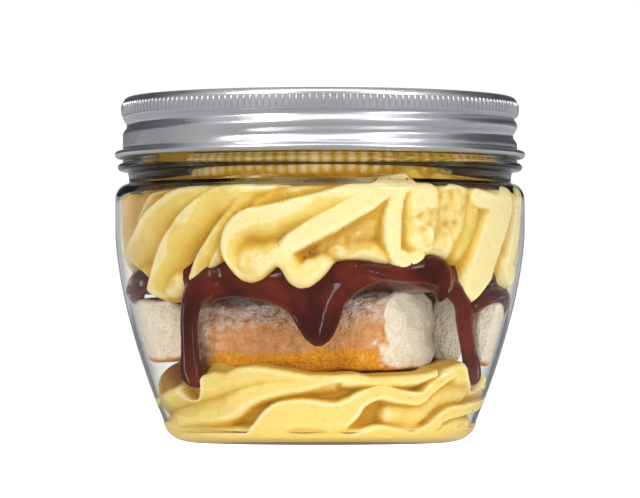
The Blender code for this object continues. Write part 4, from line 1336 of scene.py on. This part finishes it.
def aluminium_material():
    """Satin metal with faint rolling lines."""
    recipe = Recipe("satin_aluminium")
    stretched = recipe.add("ShaderNodeMapping", Vector=recipe.place)
    stretched.inputs["Scale"].default_value = (0.05, 0.05, 1.0)
    lines = recipe.add("ShaderNodeTexNoise", Vector=stretched.outputs[0], Scale=3500.0, Detail=2.0)
    cloudy = recipe.noise(8.0)
    roughness = recipe.spread(cloudy, 0.3, 0.7, 0.26, 0.33)
    colour = recipe.blend(cloudy, tint(226, 228, 231), tint(238, 239, 242))
    normal = recipe.relief(lines.outputs["Fac"], 0.02)
    return recipe.surface(Base_Color=colour, Metallic=1.0, Roughness=roughness, Normal=normal)


aluminium = aluminium_material()
lid.data.materials.append(aluminium)
ribs = grip_ribs(aluminium)
report(ribs)
for piece in (lid, ribs):
    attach(piece, "root")
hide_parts("lid")

# %% [markdown]
# ## Floor and boards
# A plain white floor. Two boards, which the camera doesn't see, stand behind
# the jar at either side, pale below and dark above. The pale part draws the
# grey edges of the clear wall, and the dark part is for the ends of the metal.

# %% Floor and boards


def plain_material(name, colour, roughness, glow=0.0):
    """A plain finish with a faint variation, for what stands round the jar."""
    recipe = Recipe(name)
    cloudy = recipe.spread(recipe.noise(200.0), 0.0, 1.0, 0.0, 0.06)
    seen = recipe.add("ShaderNodeLightPath").outputs["Is Camera Ray"]
    return recipe.surface(
        Base_Color=recipe.blend(cloudy, colour, tint(235, 235, 235)), Roughness=roughness,
        Emission_Color=(1.0, 1.0, 1.0, 1.0), Emission_Strength=recipe.spread(seen, 0.0, 1.0, glow, 3.0 * glow),
    )


def board(name, corners, material):
    """A flat four-cornered board, in metres."""
    mesh = bpy.data.meshes.new(name)
    mesh.from_pydata(corners, [], [(0, 1, 2, 3)])
    mesh.materials.append(material)
    piece = bpy.data.objects.new(name, mesh)
    bpy.context.scene.collection.objects.link(piece)
    return piece


def round_floor(radius=0.42, sides=96):
    """A round white table top under the jar."""
    turns = np.linspace(0.0, 2.0 * math.pi, sides, endpoint=False)
    mesh = bpy.data.meshes.new("floor")
    rim = [(radius * math.cos(turn), radius * math.sin(turn), 0.0) for turn in turns]
    mesh.from_pydata(rim, [], [tuple(range(sides))])
    floor = bpy.data.objects.new("floor", mesh)
    bpy.context.scene.collection.objects.link(floor)
    mesh.materials.append(plain_material("white_floor", tint(252, 252, 252), 0.9, 0.4))
    floor.visible_glossy = False
    floor.visible_transmission = False


round_floor()
BOARD_SPLIT, BOARD_TOP = 0.079, 0.5
BOARDS = [
    ("pale_board", tint(205, 205, 208), 0.0, BOARD_SPLIT),
    ("dark_board", tint(56, 56, 60), BOARD_SPLIT, BOARD_TOP),
]
for level, colour, low, high in BOARDS:
    finish = plain_material(level, colour, 0.9)
    for name, side in (("left_", -1.0), ("right_", 1.0)):
        near, far = (side * 0.46, 0.02), (side * 0.14, 0.42)
        flag = board(name + level, [(*far, low), (*near, low), (*near, high), (*far, high)], finish)
        flag.visible_camera = False
        flag.visible_diffuse = False
        flag.visible_shadow = False


# %% [markdown]
# ## Lamps
# A soft key lamp from the upper left, a weaker one from the right and a broad
# one above. Two fills brighten the food and stay out of every reflection.
# Three narrow lamps light the sauce alone. Each stands where a smooth wall,
# leaning in by its slope, would mirror it to the camera. That is partly below
# the floor, so only the sauce itself can shade them.

# %% Lamps


def lamp(name, place, width, tall, power, aim=(0.0, 0.0, 0.04)):
    """A soft box lamp that faces the jar."""
    data = bpy.data.lights.new(name, "AREA")
    data.shape, data.size, data.size_y, data.energy = "RECTANGLE", width, tall, power
    obj = bpy.data.objects.new(name, data)
    obj.location = place
    obj.rotation_euler = (Vector(aim) - Vector(place)).to_track_quat("-Z", "Y").to_euler()
    bpy.context.scene.collection.objects.link(obj)
    return obj


lamp("key", (-0.52, -0.66, 0.62), 0.34, 0.34, 2.9)
lamp("right", (0.62, -0.60, 0.56), 0.28, 0.30, 2.2)
lamp("above", (0.0, -0.34, 0.84), 0.90, 0.36, 1.5)
for name, place, power in (("left_fill", (-0.45, -0.85, 0.16), 0.9), ("right_fill", (0.62, -0.72, 0.14), 2.5)):
    fill = lamp(name, place, 0.4, 0.3, power)
    fill.visible_glossy = False
    fill.visible_transmission = False
shiny = bpy.data.collections.new("shiny_sauce")
shiny.objects.link(sauce)
WALL_SLOPE = math.radians(15.0)
GLEAM_DISTANCE = 0.9
for name, angle in (("left_gleam", -46.0), ("middle_gleam", 5.5), ("right_gleam", 56.0)):
    turn = math.radians(angle)
    level = math.cos(WALL_SLOPE)
    facing = Vector((math.sin(turn) * level, -math.cos(turn) * level, -math.sin(WALL_SLOPE)))
    towards = 2.0 * -facing.y * facing + Vector((0.0, 1.0, 0.0))
    gleam = lamp(name, tuple(GLEAM_DISTANCE * towards), 0.035, 0.5, 0.8, (0.0, 0.0, 0.025))
    gleam.light_linking.receiver_collection = shiny
    gleam.light_linking.blocker_collection = shiny

# %% [markdown]
# ## The sky
# The sky is white to the eye but gives the food only part of that light, so
# the folds keep their shade. Mirrored outside the wall it is a soft grey, and
# mirrored behind the wall it is nearly gone, so that the sauce stays dark.

# %% The sky's four strengths

SKY_SEEN, SKY_LIGHT, SKY_SHINE, SKY_IN_GLASS = 1.05, 0.21, 0.4, 0.1
world = bpy.data.worlds.new("studio")
world.use_nodes = True
sky = world.node_tree
background = sky.nodes["Background"]
background.inputs["Color"].default_value = (1.0, 1.0, 1.0, 1.0)
path = sky.nodes.new("ShaderNodeLightPath")
strength = SKY_SEEN
inside = sky.nodes.new("ShaderNodeMath")
inside.operation = "MULTIPLY"
sky.links.new(path.outputs["Glossy Depth"], inside.inputs[0])
sky.links.new(path.outputs["Transmission Depth"], inside.inputs[1])
steps = [(path.outputs["Glossy Depth"], SKY_SHINE), (inside.outputs[0], SKY_IN_GLASS),
         (path.outputs["Diffuse Depth"], SKY_LIGHT)]
for depth, level in steps:
    choice = sky.nodes.new("ShaderNodeMix")
    past = sky.nodes.new("ShaderNodeMath")
    past.operation = "GREATER_THAN"
    past.inputs[1].default_value = 0.5
    sky.links.new(depth, past.inputs[0])
    sky.links.new(past.outputs[0], choice.inputs[0])
    if isinstance(strength, float):
        choice.inputs[2].default_value = strength
    else:
        sky.links.new(strength, choice.inputs[2])
    choice.inputs[3].default_value = level
    strength = choice.outputs[0]
sky.links.new(strength, background.inputs["Strength"])
world.cycles.sampling_method = "NONE"
bpy.context.scene.world = world
print("sky seen, lighting, mirrored, in the glass:", SKY_SEEN, SKY_LIGHT, SKY_SHINE, SKY_IN_GLASS)
